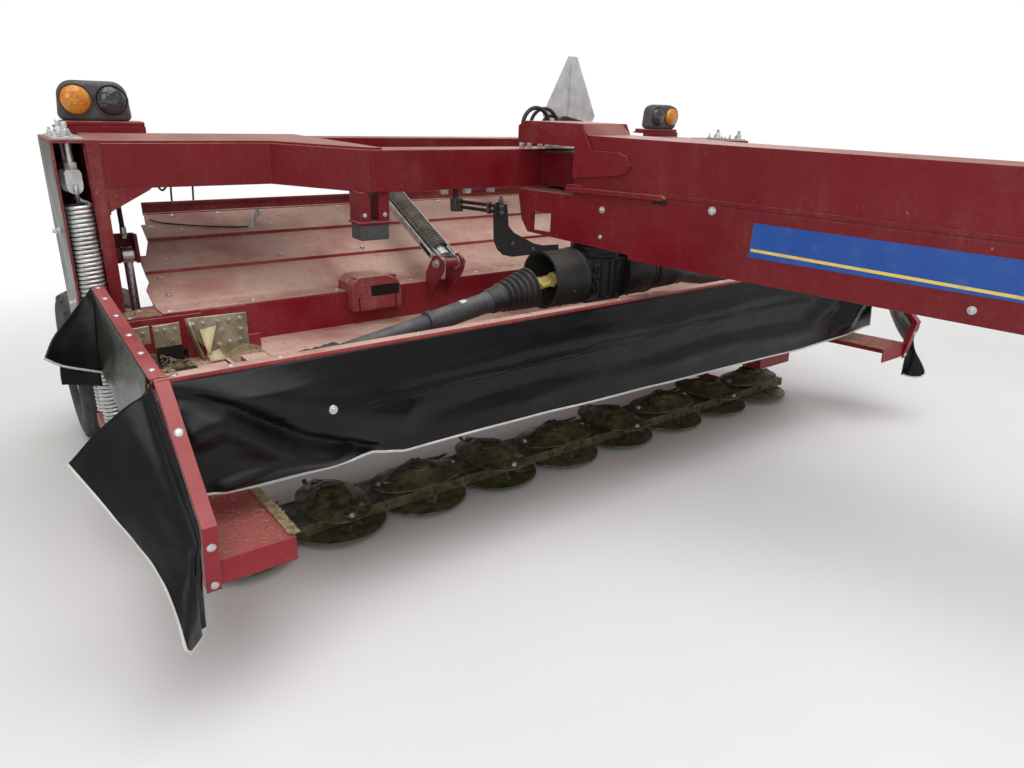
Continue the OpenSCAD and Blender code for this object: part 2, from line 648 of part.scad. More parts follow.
// curtains
module front_curtain() color(black) to_row() {
  side(-1800, 1815, [[rail_y - gap, 872], [rail_y - 5, 872], [rail_y - 44, 505], [rail_y - 38, 505]]);
}

// thin sheet between corner points
module flap(pts) hull() for (q = pts) translate(q) cube(5, center = true);
curtain_x = header_x + 3;
module end_curtains() color(black) to_row() both() {
  flap([[curtain_x, -515, 872], [curtain_x, -828, 575], [2068, -500, 692]]);
  flap([[curtain_x, -828, 575], [2068, -500, 692], [1925, -880, 280]]);
  flap([[curtain_x, -828, 575], [curtain_x, -780, 385], [1925, -880, 280]]);
}
module side_curtains() color(black) to_row() both() {
  flap([[curtain_x + 6, -480, 872], [curtain_x + 6, 350, 990], [curtain_x + 20, 330, 660],
    [curtain_x + 14, -440, 600]]);
  flap([[curtain_x + 6, 350, 990], [2030, 330, 770], [curtain_x + 24, 200, 735]]);
}

front_beam();
rear_beam();
trail_legs();
wheel_arms();
spring_hangers();
float_springs();
lamp_brackets();
lamp_housings();
lamp_lenses();
rear_sign();
frame_hoses();
stop_blocks();
wheel_tyre(-1);  // wheel_tyre_right
wheel_rim(-1);  // wheel_rim_right
wheel_tyre(1);  // wheel_tyre_left
wheel_rim(1);  // wheel_rim_left
tongue_box();
tongue_head();
tongue_skirt();
tongue_neck();
hitch_clevis();
tongue_driveline();
jack_tube();
jack_leg();
lower_link(-1);  // lower_link_right
lower_link(1);  // lower_link_left
top_link();
cylinder_barrel(-1);  // cylinder_barrel_right
cylinder_rod(-1);  // cylinder_rod_right
cylinder_barrel(1);  // cylinder_barrel_left
cylinder_rod(1);  // cylinder_rod_left
deck_panels();
deck_channel();
front_shield();
end_frames();
end_boxes();
cutterbar();
rock_guards();
conditioner_sides();
windrow_shields();
end_gearboxes();
swivel_gearbox();
gearbox_head();
drive_tube(-1);  // drive_tube_right
drive_tube(1);  // drive_tube_left
shield_arm();
roll_upper();
roll_lower();
disc(1);  // disc_1
disc(2);  // disc_2
disc(3);  // disc_3
disc(4);  // disc_4
disc(5);  // disc_5
disc(6);  // disc_6
disc(7);  // disc_7
disc(8);  // disc_8
disc(9);  // disc_9
front_curtain();
end_curtains();
side_curtains();
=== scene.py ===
import math
import random

import bmesh
import bpy
from mathutils import Matrix, Vector, noise


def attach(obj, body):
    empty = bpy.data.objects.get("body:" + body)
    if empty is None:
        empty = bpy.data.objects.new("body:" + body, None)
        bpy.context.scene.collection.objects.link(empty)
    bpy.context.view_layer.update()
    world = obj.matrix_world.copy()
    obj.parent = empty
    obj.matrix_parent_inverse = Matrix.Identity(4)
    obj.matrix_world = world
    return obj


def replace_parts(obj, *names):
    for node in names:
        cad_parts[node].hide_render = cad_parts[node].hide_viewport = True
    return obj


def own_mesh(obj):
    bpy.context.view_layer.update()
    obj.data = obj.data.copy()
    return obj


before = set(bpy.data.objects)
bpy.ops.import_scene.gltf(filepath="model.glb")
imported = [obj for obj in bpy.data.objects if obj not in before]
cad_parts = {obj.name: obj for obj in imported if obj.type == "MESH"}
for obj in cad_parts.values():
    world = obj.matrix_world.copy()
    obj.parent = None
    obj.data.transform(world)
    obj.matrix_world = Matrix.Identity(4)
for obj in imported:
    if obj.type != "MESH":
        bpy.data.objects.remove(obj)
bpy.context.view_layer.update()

random.seed(12)

# Frames: the machine's own, its pitched trail frame, and the tongue swung in that frame
MM = 0.001
ORIGIN_Y = -1343.6
FRAME_Z = 1465
FRAME_PITCH = 4
PIVOT_Y = -280
TONGUE_SWING = 12.1
MACHINE = Matrix.Scale(MM, 4) @ Matrix.Translation((0, -ORIGIN_Y, 0))
PITCHED = (MACHINE @ Matrix.Translation((0, 0, FRAME_Z)) @ Matrix.Rotation(math.radians(FRAME_PITCH), 4, "X")
           @ Matrix.Translation((0, 0, -FRAME_Z)))
TONGUE = (PITCHED @ Matrix.Translation((0, PIVOT_Y, 0))
          @ Matrix.Rotation(math.radians(TONGUE_SWING), 4, "Z"))

# Sizes in millimetres, most of them shared with the solids
BEAM_BOTTOM = 1310
LEG_X = 1738
LEG_OUT = 1876
WHEEL = (1690, 1700, 395)
TYRE_WIDTH = 345
RIM_RADIUS = 205
TREAD_FOOT = 372
TREAD_TOP = 394
TREAD_BARS = 44
RAIL_Z = 884
FLOOR_TOP = 742
LEDGE_TOP = 450
DISC_COUNT = 9
DISC_PITCH = 390
DISC_Z = 108
DISC_HALF_LENGTH = 212
DISC_HALF_WIDTH = 134
SPRING_X = 1829
SPRING_Y = (440, 600)
SPRING_LOW = 455.3
CLEVIS_FOOT = 1351
CLEVIS_TOP = 1405
SPRING_TOP = 1290
SPRING_RADIUS = 39.5
SPRING_WIRE = 6.8
SPRING_PITCH = 15.2
BELL_Z = 968
SHAFT_START = (200, -244.6, 949.8)
SHAFT_END = (1380, -244.6, 752)
LAMP_Z = 1595
LAMP_FACE = 902
AMBER_X = 1721
SMOKE_X = 1594
NOTCH_X = 1640
TOP_LINK_X = -445
TOP_HEAD = (220, 980)
TOP_PIN = (838.1, 1308.6)
SIDES = {"right": -1, "left": 1}


class Surface:
    """A procedural material. Its methods add nodes and return the sockets to link."""

    def __init__(self, name, roughness=0.5, metallic=0.0):
        self.material = bpy.data.materials.new(name)
        self.material.use_nodes = True
        self.tree = self.material.node_tree
        self.shader = self.tree.nodes["Principled BSDF"]
        self.shader.inputs["Metallic"].default_value = metallic
        self.shader.inputs["Roughness"].default_value = roughness
        self.where = self.add("ShaderNodeTexCoord").outputs["Object"]

    def add(self, kind, inputs=None, **settings):
        """A node with its settings; inputs holds a value or a socket for each input's name or number."""
        node = self.tree.nodes.new(kind)
        for key, value in settings.items():
            setattr(node, key, value)
        for key, value in (inputs or {}).items():
            self.put(node.inputs[key], value)
        return node

    def put(self, socket, value):
        if isinstance(value, bpy.types.NodeSocket):
            self.tree.links.new(value, socket)
        else:
            socket.default_value = value

    def stretched(self, scale):
        return self.add("ShaderNodeMapping", {"Vector": self.where, "Scale": scale}).outputs[0]

    def spread(self, value, low, high):
        """A smooth step, 0 at low and 1 at high."""
        return self.add("ShaderNodeMapRange", {"Value": value, "From Min": low, "From Max": high},
                        interpolation_type="SMOOTHSTEP").outputs[0]

    def range(self, value, low, high):
        """A value between 0 and 1, brought between low and high."""
        return self.add("ShaderNodeMapRange", {"Value": value, "To Min": low, "To Max": high}).outputs[0]

    def noise(self, scale, low=0.3, high=0.7, detail=4, where=None):
        node = self.add("ShaderNodeTexNoise", {"Vector": where or self.where, "Scale": scale,
                                               "Detail": detail, "Roughness": 0.6})
        return self.spread(node.outputs[0], low, high)

    def cells(self, scale, low, high):
        node = self.add("ShaderNodeTexVoronoi", {"Vector": self.where, "Scale": scale})
        return self.spread(node.outputs["Distance"], low, high)

    def math(self, operation, a, b):
        return self.add("ShaderNodeMath", {0: a, 1: b}, operation=operation, use_clamp=True).outputs[0]

    def both(self, a, b):
        return self.math("MULTIPLY", a, b)

    def either(self, a, b):
        return self.math("MAXIMUM", a, b)

    def mix(self, share, a, b):
        """Colour a where share is 0, colour b where it is 1."""
        a, b = ((*value, 1) if isinstance(value, tuple) else value for value in (a, b))
        return self.add("ShaderNodeMix", {0: share, 6: a, 7: b}, data_type="RGBA").outputs[2]

    def facing_up(self, low, high):
        normal = self.add("ShaderNodeNewGeometry").outputs["Normal"]
        return self.spread(self.add("ShaderNodeSeparateXYZ", {0: normal}).outputs["Z"], low, high)

    def edges(self, radius):
        """1 along the edges of a piece, 0 on its faces."""
        rounded = self.add("ShaderNodeBevel", {"Radius": radius}, samples=2).outputs[0]
        normal = self.add("ShaderNodeNewGeometry").outputs["Normal"]
        node = self.add("ShaderNodeVectorMath", {0: rounded, 1: normal}, operation="DOT_PRODUCT")
        return self.spread(node.outputs["Value"], 0.97, 0.80)

    def finish(self, colour, roughness=None, bumps=()):
        """The material with its colour, roughness and bumps; each bump is a height and a distance."""
        self.put(self.shader.inputs["Base Color"], colour)
        if roughness is not None:
            self.put(self.shader.inputs["Roughness"], roughness)
        normal = None
        for height, distance in bumps:
            node = self.add("ShaderNodeBump", {"Distance": distance, "Height": height})
            if normal is not None:
                self.put(node.inputs["Normal"], normal)
            normal = node.outputs[0]
        if normal is not None:
            self.put(self.shader.inputs["Normal"], normal)
        return self.material


TAN_DUST = (0.44, 0.33, 0.24)
PINK_DUST = (0.58, 0.29, 0.25)
RUST = (0.17, 0.065, 0.025)
BARE_STEEL = (0.32, 0.31, 0.30)


def paint(name, deep, pale, dust, wear=0.5, film=0.12, dust_colour=TAN_DUST, gloss=0.32, edges=True):
    """Old enamel: two tones, a thin film of dust, dust settled on upward faces, streaks and worn edges."""
    s = Surface(name)
    s.shader.inputs["Specular IOR Level"].default_value = 0.28
    patch = s.noise(4.5, 0.3, 0.72, 5)
    fine = s.noise(75, 0.3, 0.75, 2)
    tone = s.mix(s.noise(1.3, 0.3, 0.7, 2), deep, pale)
    hazy = s.mix(s.both(patch, s.range(fine, 0.4 * film, 1.5 * film)), tone, dust_colour)
    streaks = s.noise(13, 0.52, 0.74, 3, s.stretched((1.0, 1.0, 0.10)))
    run = s.mix(s.both(streaks, s.range(patch, 0.0, 1.2 * film)), hazy, dust_colour)
    lying = s.noise(2.7, 0.26, 0.62, 6)
    grainy = s.both(lying, s.range(fine, 0.75, 1))
    settled = s.both(s.facing_up(0.30, 0.85), s.range(grainy, 0.30 * dust, dust))
    dusty = s.mix(settled, run, dust_colour)
    specks = s.both(s.cells(34, 0.13, 0.07), s.noise(3.1, 0.47, 0.58, 2))
    splashed = s.mix(s.both(specks, min(1.0, 2.4 * film)), dusty, dust_colour)
    nicks = s.both(s.cells(11, 0.055, 0.03), s.noise(2.6, 0.5, 0.58, 2))
    if edges:
        nicks = s.either(nicks, s.both(s.edges(0.005), s.both(s.noise(22, 0.44, 0.62, 4), wear)))
    worn = s.mix(nicks, splashed, s.mix(fine, RUST, BARE_STEEL))
    rough = s.range(s.either(settled, s.both(patch, 0.5)), gloss, gloss + 0.42)
    return s.finish(worn, rough, [(s.noise(9, detail=2), 0.0016), (s.both(settled, fine), 0.0008)])


def metal(name, tone, pale, roughness, grime=(0.10, 0.085, 0.065), spangle=18.0, amount=0.5):
    """Plated or bare steel with cloudy patches, grime and small dents."""
    s = Surface(name, metallic=0.85)
    cloud = s.mix(s.noise(spangle, detail=3), tone, pale)
    dirt = s.both(s.noise(11, 0.42, 0.72, 7), s.range(s.noise(60), 0.3 * amount, amount))
    rough = s.range(s.noise(14), roughness - 0.08, roughness + 0.18)
    return s.finish(s.mix(dirt, cloud, grime), rough, [(s.noise(50), 0.0006), (s.noise(330), 0.0002)])


def rubber(name, tone, dusty, amount, roughness):
    """Rubber or plastic under a film of dust."""
    s = Surface(name)
    film = s.both(s.noise(4, 0.3, 0.75, 7), s.range(s.noise(80), 0.3 * amount, amount))
    settled = s.either(film, s.both(s.facing_up(0.4, 0.95), s.range(s.noise(9, detail=6), 0, 1.6 * amount)))
    rough = s.range(s.noise(7), roughness - 0.12, roughness + 0.15)
    return s.finish(s.mix(settled, tone, dusty), rough, [(s.noise(300), 0.0004), (s.noise(12), 0.002)])


def coated_cloth(name, tone, amount, dust=(0.10, 0.09, 0.075)):
    """Shiny coated fabric: fine weave, small creases and dust wiped into soft patches; on the side curtain
    the olive tone and patches are partly dust and partly a painted reflection of grass.
    """
    s = Surface(name)
    s.shader.inputs["Specular IOR Level"].default_value = 0.26
    weave = s.add("ShaderNodeTexWave", {"Vector": s.where, "Scale": 260}, bands_direction="DIAGONAL")
    crease = s.noise(3.2, 0.3, 0.7, 3, s.stretched((0.5, 1.0, 1.6)))
    patches = s.both(s.noise(1.9, 0.48, 0.82, 5), s.range(s.noise(90, detail=2), 0.3 * amount, amount))
    rough = s.range(s.noise(5, 0.3, 0.8, 3), 0.24, 0.38)
    return s.finish(s.mix(patches, tone, dust), rough,
                    [(weave.outputs[0], 0.00010), (crease, 0.0045), (s.noise(22, detail=2), 0.00022)])


def worn_olive(name, bare):
    """Crop-polished painted steel, olive with dried sap, dark smears and rubbed bright patches."""
    s = Surface(name, metallic=0.25)
    base = s.mix(s.noise(9), (0.100, 0.100, 0.046), (0.170, 0.168, 0.085))
    sap = s.mix(s.noise(24, 0.42, 0.66, 6), base, (0.046, 0.046, 0.023))
    rub = s.both(s.noise(7, 0.55, 0.7, 5), s.noise(38, 0.45, 0.6, 3))
    colour = s.mix(s.both(rub, bare), sap, (0.25, 0.245, 0.17))
    return s.finish(colour, s.range(s.noise(16), 0.38, 0.72), [(s.noise(90), 0.0008), (s.noise(20), 0.003)])


def lens(name, tone, deep, strength):
    s = Surface(name, roughness=0.12)
    s.shader.inputs["Transmission Weight"].default_value = strength
    s.shader.inputs["Coat Weight"].default_value = 0.6
    facets = s.cells(70, 0.1, 0.6)
    return s.finish(s.mix(s.noise(30), deep, tone), s.range(s.noise(20), 0.08, 0.22), [(facets, 0.0015)])


def straw(name):
    s = Surface(name, roughness=0.8)
    colour = s.mix(s.noise(40), (0.26, 0.20, 0.10), (0.50, 0.41, 0.24))
    return s.finish(colour, s.range(s.noise(90), 0.7, 0.95), [(s.noise(300), 0.0006)])


def printed(name, tone, faded, dust=0.6):
    s = Surface(name)
    print_tone = s.mix(s.noise(4), tone, faded)
    dusty = s.mix(s.both(s.noise(14, 0.5, 0.8, 6), dust), print_tone, (0.34, 0.30, 0.26))
    return s.finish(dusty, s.range(s.noise(18), 0.25, 0.5), [(s.noise(300), 0.0002)])


RED = paint("red_enamel", (0.155, 0.0025, 0.008), (0.200, 0.005, 0.013), dust=0.66, film=0.045,
            gloss=0.28, dust_colour=(0.50, 0.30, 0.24))
RED_DUSTY = paint("red_dusty", (0.24, 0.010, 0.020), (0.34, 0.040, 0.050), dust=0.97, film=0.16,
                  wear=0.8, dust_colour=(0.64, 0.45, 0.36))
RED_PINK = paint("red_pink_dust", (0.215, 0.006, 0.015), (0.28, 0.018, 0.030), dust=0.72, film=0.10,
                 wear=0.7, dust_colour=PINK_DUST)
STRIP_RED = paint("red_strip", (0.22, 0.006, 0.014), (0.31, 0.020, 0.032), dust=0.38, film=0.06,
                  wear=0.7, gloss=0.30, dust_colour=(0.56, 0.24, 0.21))
LEG_PAINT = paint("red_mud", (0.165, 0.004, 0.011), (0.22, 0.012, 0.020), dust=0.6, film=0.12, wear=0.8)
BLACK_PAINT = paint("black_enamel", (0.006, 0.006, 0.007), (0.013, 0.013, 0.013), dust=0.26, film=0.05,
                    wear=0.6, gloss=0.36, edges=False, dust_colour=(0.18, 0.16, 0.14))
CAST = paint("black_casting", (0.005, 0.005, 0.006), (0.014, 0.0138, 0.0135), dust=0.20, film=0.07,
             wear=0.4, gloss=0.34, edges=False, dust_colour=(0.15, 0.135, 0.12))
BELL = paint("black_bell", (0.013, 0.013, 0.014), (0.026, 0.0255, 0.025), dust=0.24, film=0.09,
             wear=0.5, gloss=0.42, edges=False, dust_colour=(0.17, 0.155, 0.14))
CREAM = paint("cream_enamel", (0.62, 0.52, 0.26), (0.72, 0.64, 0.40), dust=0.5, film=0.3,
              edges=False, dust_colour=(0.36, 0.30, 0.22))
YELLOW = paint("yellow_enamel", (0.62, 0.42, 0.03), (0.72, 0.55, 0.10), dust=0.4, film=0.3,
               wear=0.7, edges=False)
MUD_PLATE = paint("mud_plate", (0.060, 0.052, 0.040), (0.115, 0.100, 0.074), dust=0.4, film=0.4,
                  wear=0.8, edges=False, dust_colour=(0.19, 0.165, 0.12))
ZINC = metal("zinc_plate", (0.52, 0.53, 0.52), (0.74, 0.75, 0.74), 0.34, amount=0.4)
GALVANISED = metal("galvanised", (0.42, 0.42, 0.38), (0.62, 0.61, 0.56), 0.46, spangle=45, amount=0.6)
BRACKET = metal("dusty_plate", (0.42, 0.37, 0.26), (0.62, 0.56, 0.42), 0.5, grime=(0.17, 0.14, 0.08),
                amount=0.65)
CHROME = metal("hard_chrome", (0.70, 0.71, 0.72), (0.80, 0.81, 0.82), 0.16, amount=0.15)
DARK_STEEL = metal("oiled_steel", (0.10, 0.098, 0.09), (0.18, 0.175, 0.16), 0.45, amount=0.7)
KNIFE = metal("knife_steel", (0.20, 0.20, 0.19), (0.40, 0.39, 0.36), 0.36, amount=0.6)
TYRE = rubber("tyre_rubber", (0.018, 0.018, 0.018), (0.13, 0.115, 0.095), 0.6, 0.72)
HOSE = rubber("hose_rubber", (0.014, 0.014, 0.015), (0.12, 0.11, 0.095), 0.35, 0.5)
PLASTIC = rubber("grey_plastic", (0.050, 0.052, 0.057), (0.20, 0.20, 0.20), 0.38, 0.45)
BOOT = rubber("boot_plastic", (0.016, 0.016, 0.017), (0.14, 0.13, 0.11), 0.5, 0.42)
CLOTH = coated_cloth("black_curtain", (0.0045, 0.0045, 0.0052), 0.16)
# The side curtain's olive tone and patches are partly dust and partly a painted reflection of grass
CLOTH_SIDE = coated_cloth("olive_dust_and_grass_reflection_curtain", (0.020, 0.022, 0.013), 0.8, (0.060, 0.066, 0.036))
HEM = printed("white_hem", (0.66, 0.65, 0.62), (0.50, 0.48, 0.44))
OLIVE = worn_olive("worn_olive", 0.8)
OLIVE_DARK = worn_olive("worn_olive_dark", 0.4)
AMBER = lens("amber_lens", (0.95, 0.42, 0.03), (0.75, 0.20, 0.01), 0.25)
SMOKE = lens("smoke_lens", (0.05, 0.05, 0.055), (0.02, 0.02, 0.022), 0.1)
EMBLEM_ORANGE = printed("emblem_orange", (0.90, 0.20, 0.02), (0.80, 0.26, 0.08))
EMBLEM_RED = printed("emblem_red", (0.45, 0.01, 0.01), (0.40, 0.05, 0.04))
BLUE = printed("stripe_blue", (0.004, 0.060, 0.33), (0.010, 0.080, 0.36), 0.12)
STRIPE_YELLOW = printed("stripe_yellow", (0.85, 0.62, 0.08), (0.80, 0.60, 0.20))
LABEL = printed("blank_label", (0.72, 0.71, 0.68), (0.60, 0.58, 0.54))
STRAW = straw("dry_straw")
# Painted shade: a near-black rubber-like surface laid over slots, notches and openings, where it stands for
# the shade inside them
PAINTED_SHADE = rubber("painted_shade_in_openings", (0.006, 0.006, 0.006), (0.03, 0.025, 0.02), 0.4, 0.8)
SIGN_SHEET = metal("sign_sheet", (0.60, 0.62, 0.62), (0.74, 0.76, 0.76), 0.42, amount=0.2)
COIL_BROWN = metal("dusty_coil", (0.14, 0.125, 0.10), (0.24, 0.22, 0.18), 0.5, amount=0.6)


def show(name, data):
    """A new object in the scene."""
    thing = bpy.data.objects.new(name, data)
    bpy.context.scene.collection.objects.link(thing)
    return thing


def span(side, a, b):
    """Two places across the machine on one side, the lower one first."""
    return sorted((side * a, side * b))


def circle(centre, side, up, radius, n):
    """Points around a centre, in the plane of two directions."""
    turns = [math.tau * k / n for k in range(n)]
    return [centre + radius * (side * math.cos(a) + up * math.sin(a)) for a in turns]


def soften(piece, width):
    """Rounds the edges of a piece, by a width in millimetres."""
    modifier = piece.modifiers.new("soft_edges", "BEVEL")
    modifier.width = width * MM
    modifier.segments = 2
    modifier.limit_method = "ANGLE"
    modifier.angle_limit = math.radians(40)


class Shape:
    """Geometry of one piece, drawn in millimetres in a frame of the machine."""

    def __init__(self, place=MACHINE):
        self.bm = bmesh.new()
        self.place = place
        self.paint = 0

    def faces(self, points, rows):
        verts = [self.bm.verts.new(p) for p in points]
        for row in rows:
            self.bm.faces.new([verts[i] for i in row]).material_index = self.paint

    def box(self, low, high):
        x, y, z = zip(low, high)
        points = [(a, b, c) for a in x for b in y for c in z]
        self.faces(points, [(0, 1, 3, 2), (4, 6, 7, 5), (0, 4, 5, 1), (2, 3, 7, 6), (0, 2, 6, 4),
                            (1, 5, 7, 3)])

    def slab(self, side, across, back, up):
        """A box on one side of the machine, from its places across, back and up."""
        x = span(side, *across)
        self.box((x[0], back[0], up[0]), (x[1], back[1], up[1]))

    def prism(self, outline, low, high, axis="x"):
        """A plate with an outline in the other two axes, in their order."""
        n = len(outline)
        at = "xyz".index(axis)
        points = [(*p[:at], c, *p[at:]) for c in (low, high) for p in outline]
        rows = [tuple(range(n)), tuple(range(2 * n - 1, n - 1, -1))]
        rows += [(i, (i + 1) % n, n + (i + 1) % n, n + i) for i in range(n)]
        self.faces(points, rows)

    def loft(self, rings, closed=False):
        """A skin through rings of points; its ends are filled unless it closes on itself."""
        loops = [[self.bm.verts.new(p) for p in ring] for ring in rings]
        n = len(loops[0])
        pairs = list(zip(loops, loops[1:])) + ([(loops[-1], loops[0])] if closed else [])
        rows = [(a[k], a[(k + 1) % n], b[(k + 1) % n], b[k]) for a, b in pairs for k in range(n)]
        if not closed:
            rows += [loops[0][::-1], loops[-1]]
        for row in rows:
            self.bm.faces.new(row).material_index = self.paint

    def lathe(self, profile, at, along, n=24, turn=0.0):
        """A body of revolution; profile holds (radius, height) pairs along the axis."""
        spin = Vector((0, 0, 1)).rotation_difference(Vector(along)).to_matrix()
        rings = []
        for r, h in profile:
            count = 1 if r < 1e-6 else n
            ring = [self.bm.verts.new(Vector(at) + spin @ Vector((
                r * math.cos(turn + math.tau * i / n), r * math.sin(turn + math.tau * i / n), h)))
                for i in range(count)]
            rings.append(ring)
        for a, b in zip(rings, rings[1:]):
            for i in range(n):
                j = (i + 1) % n
                corners = [a[i % len(a)], a[j % len(a)], b[j % len(b)], b[i % len(b)]]
                unique = list(dict.fromkeys(corners))
                if len(unique) > 2:
                    self.bm.faces.new(unique).material_index = self.paint

    def rod(self, a, b, r, n=14):
        way = Vector(b) - Vector(a)
        self.lathe([(0, 0), (r, 0), (r, way.length), (0, way.length)], a, way, n)

    def tube(self, path, r, n=8, closed=False):
        """A round tube swept along points; r is a number, or a function of the share of the way."""
        points = [Vector(p) for p in path]
        count = len(points)
        rings = []
        side = None
        for i, p in enumerate(points):
            ahead = points[(i + 1) % count] if closed or i < count - 1 else p
            behind = points[i - 1] if closed or i > 0 else p
            way = (ahead - behind).normalized()
            if side is None:
                side = way.orthogonal().normalized()
            side = (side - way * side.dot(way)).normalized()
            radius = r(i / max(1, count - 1)) if callable(r) else r
            rings.append(circle(p, side, way.cross(side), radius, n))
        self.loft(rings, closed)

    def grid(self, rows):
        """A sheet through rows of points."""
        verts = [[self.bm.verts.new(p) for p in row] for row in rows]
        for a, b in zip(verts, verts[1:]):
            for i in range(len(a) - 1):
                self.bm.faces.new((a[i], a[i + 1], b[i + 1], b[i])).material_index = self.paint

    def bolt(self, at, along, size=16, height=None, washer=True, stud=0.0):
        """A hexagon head with a washer, and a stud end if wanted."""
        way = Vector(along).normalized()
        start = Vector(at)
        if washer:
            self.lathe([(0, 0), (size, 0), (size, 0.14 * size), (0, 0.14 * size)], start, way, 16)
            start = start + way * 0.14 * size
        h = height or 0.62 * size
        head = 0.86 * size * 0.72
        turn = random.random()
        self.lathe([(head, 0), (head, 0.8 * h), (0.5 * size, h), (0, h)], start, way, 6, turn)
        if stud:
            r, tip = 0.36 * size, h + stud
            self.lathe([(r, 0), (r, tip), (0.3 * size, tip + 2), (0, tip + 2)], start, way, 10)

    def dome(self, at, along, r, flat=0.45, n=16):
        """A round carriage bolt head."""
        steps = [(r * math.cos(t), r * flat * math.sin(t)) for t in (0, 0.4, 0.8, 1.2)]
        self.lathe([(r, -0.5)] + steps + [(0, r * flat)], at, along, n)

    def weld(self, path, r=4.0):
        """A weld bead with its ripples."""
        dense = []
        for a, b in zip(path, path[1:]):
            count = max(2, int((Vector(b) - Vector(a)).length / 9))
            dense += [Vector(a).lerp(Vector(b), i / count) for i in range(count)]
        dense.append(Vector(path[-1]))
        self.tube(dense, lambda t: r * (0.85 + 0.15 * math.sin(97 * t * len(dense) / 7)), 6)

    def make(self, name, body, *materials, bevel=0.0, sharp=35, slot=None, solid=0.0, outward=True):
        """The finished object, in metres, riding on its body."""
        if outward:
            bmesh.ops.recalc_face_normals(self.bm, faces=self.bm.faces[:])
        bmesh.ops.transform(self.bm, matrix=self.place, verts=self.bm.verts[:])
        limit = math.radians(sharp)
        for f in self.bm.faces:
            f.smooth = True
        for edge in self.bm.edges:
            if len(edge.link_faces) == 2 and edge.calc_face_angle(0) > limit:
                edge.smooth = False
        mesh = bpy.data.meshes.new(name)
        self.bm.to_mesh(mesh)
        self.bm.free()
        for material in materials:
            mesh.materials.append(material)
        piece = show(name, mesh)
        if solid:
            modifier = piece.modifiers.new("thickness", "SOLIDIFY")
            modifier.thickness = solid * MM
            modifier.offset = 0
        if bevel:
            soften(piece, bevel)
        if body:
            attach(piece, body)
        return piece


# Material and edge radius of the solids that show as they are
SOLIDS = [
    (RED, 4.0, ("front_beam", "tongue_box")),
    (RED, 2.5, ("rear_beam", "tongue_head", "tongue_skirt", "tongue_neck", "lamp_brackets", "stop_blocks")),
    (LEG_PAINT, 3.0, ("trail_legs", "wheel_arms", "lower_link_right", "lower_link_left")),
    (RED_PINK, 2.0, ("end_boxes", "conditioner_sides", "deck_channel")),
    (STRIP_RED, 2.0, ("end_frames",)),
    (RED_DUSTY, 1.5, ("deck_panels", "front_shield", "windrow_shields")),
    (RED_DUSTY, 4.0, ("end_gearboxes",)),
    (SIGN_SHEET, 0, ("rear_sign",)),
    (BLACK_PAINT, 2.0, ("hitch_clevis", "tongue_driveline")),
    (BLACK_PAINT, 1.5, ("shield_arm", "cylinder_barrel_right", "cylinder_barrel_left")),
    (BLACK_PAINT, 1.0, ("jack_tube",)),
    (ZINC, 1.5, ("jack_leg",)),
    (ZINC, 1.0, ("top_link",)),
    (CHROME, 0, ("cylinder_rod_right", "cylinder_rod_left")),
    (CREAM, 2.0, ("wheel_rim_right", "wheel_rim_left")),
    (OLIVE_DARK, 2.0, ("cutterbar",)),
    (OLIVE, 1.5, ("rock_guards",)),
    (BELL, 3.0, ("swivel_gearbox",)),
    (CAST, 3.0, ("gearbox_head",)),
    (HOSE, 1.5, ("roll_upper", "roll_lower"))]


def dress_solids():
    for material, bevel, nodes in SOLIDS:
        for node in nodes:
            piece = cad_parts[node]
            piece.data.materials.clear()
            piece.data.materials.append(material)
            if bevel:
                weld = piece.modifiers.new("weld", "WELD")
                weld.merge_threshold = 0.00002
                soften(piece, bevel)


# Curtains, with the roll beside an end curtain's fixed edge: its height, place and reach over the width
CLOTH_THICKNESS = 3.0
CURTAIN_ROLL = 15
ROLL_AT = 0.16
ROLL_REACH = 0.10
CURTAIN_TOP = 872
CURTAIN_FACE = -529
FRONT_SPAN = (-1822, 1822)
FRONT_HEM = [(-1822, 552), (-1602, 536), (-1300, 538), (-1193, 531), (-1127, 519), (-600, 515), (-230, 507),
             (400, 496), (1080, 486), (1500, 494), (1822, 514)]
# rows run down the end strip, points run from the strip out to the free hem
END_CURTAIN = [
    [(1843, -514, 874), (1915, -512, 822), (1995, -506, 764), (2067, -500, 696)],
    [(1843, -604, 788), (1907, -590, 722), (1975, -576, 652), (2018, -566, 606)],
    [(1843, -716, 681), (1895, -690, 612), (1940, -668, 548), (1966, -650, 506)],
    [(1843, -828, 571), (1880, -780, 508), (1912, -746, 462), (1932, -728, 442)],
    [(1843, -806, 474), (1872, -815, 424), (1900, -815, 396), (1922, -802, 388)],
    [(1845, -784, 386), (1872, -826, 350), (1900, -848, 320), (1921, -862, 292)],
    [(1850, -776, 262), (1868, -800, 258), (1886, -826, 256), (1905, -856, 260)],
]
# rows run back along the rail to the fold, points run from the rail down to the hem
SIDE_PANEL = [
    [(1846, -478, 886), (1852, -464, 800), (1855, -452, 715), (1856, -446, 628)],
    [(1846, -240, 920), (1856, -226, 812), (1862, -216, 715), (1862, -206, 628)],
    [(1846, -10, 953), (1860, 2, 840), (1868, 12, 740), (1864, 24, 645)],
    [(1846, 200, 983), (1858, 196, 880), (1868, 190, 790), (1865, 184, 690)],
    [(1846, 338, 1003), (1853, 318, 898), (1862, 296, 808), (1866, 272, 719)],
]
# rows run from the fold out to the free edge, points run from the rail down to the hem
SIDE_FLAP = [
    [(1847, 338, 1003), (1854, 318, 898), (1863, 296, 808), (1867, 272, 719)],
    [(1848, 344, 1004), (1880, 326, 906), (1912, 300, 822), (1928, 268, 742)],
    [(1848, 349, 1005), (1906, 330, 914), (1958, 296, 842), (1988, 254, 770)],
    [(1848, 352, 1005), (1926, 330, 926), (1992, 290, 864), (2034, 240, 806)],
]
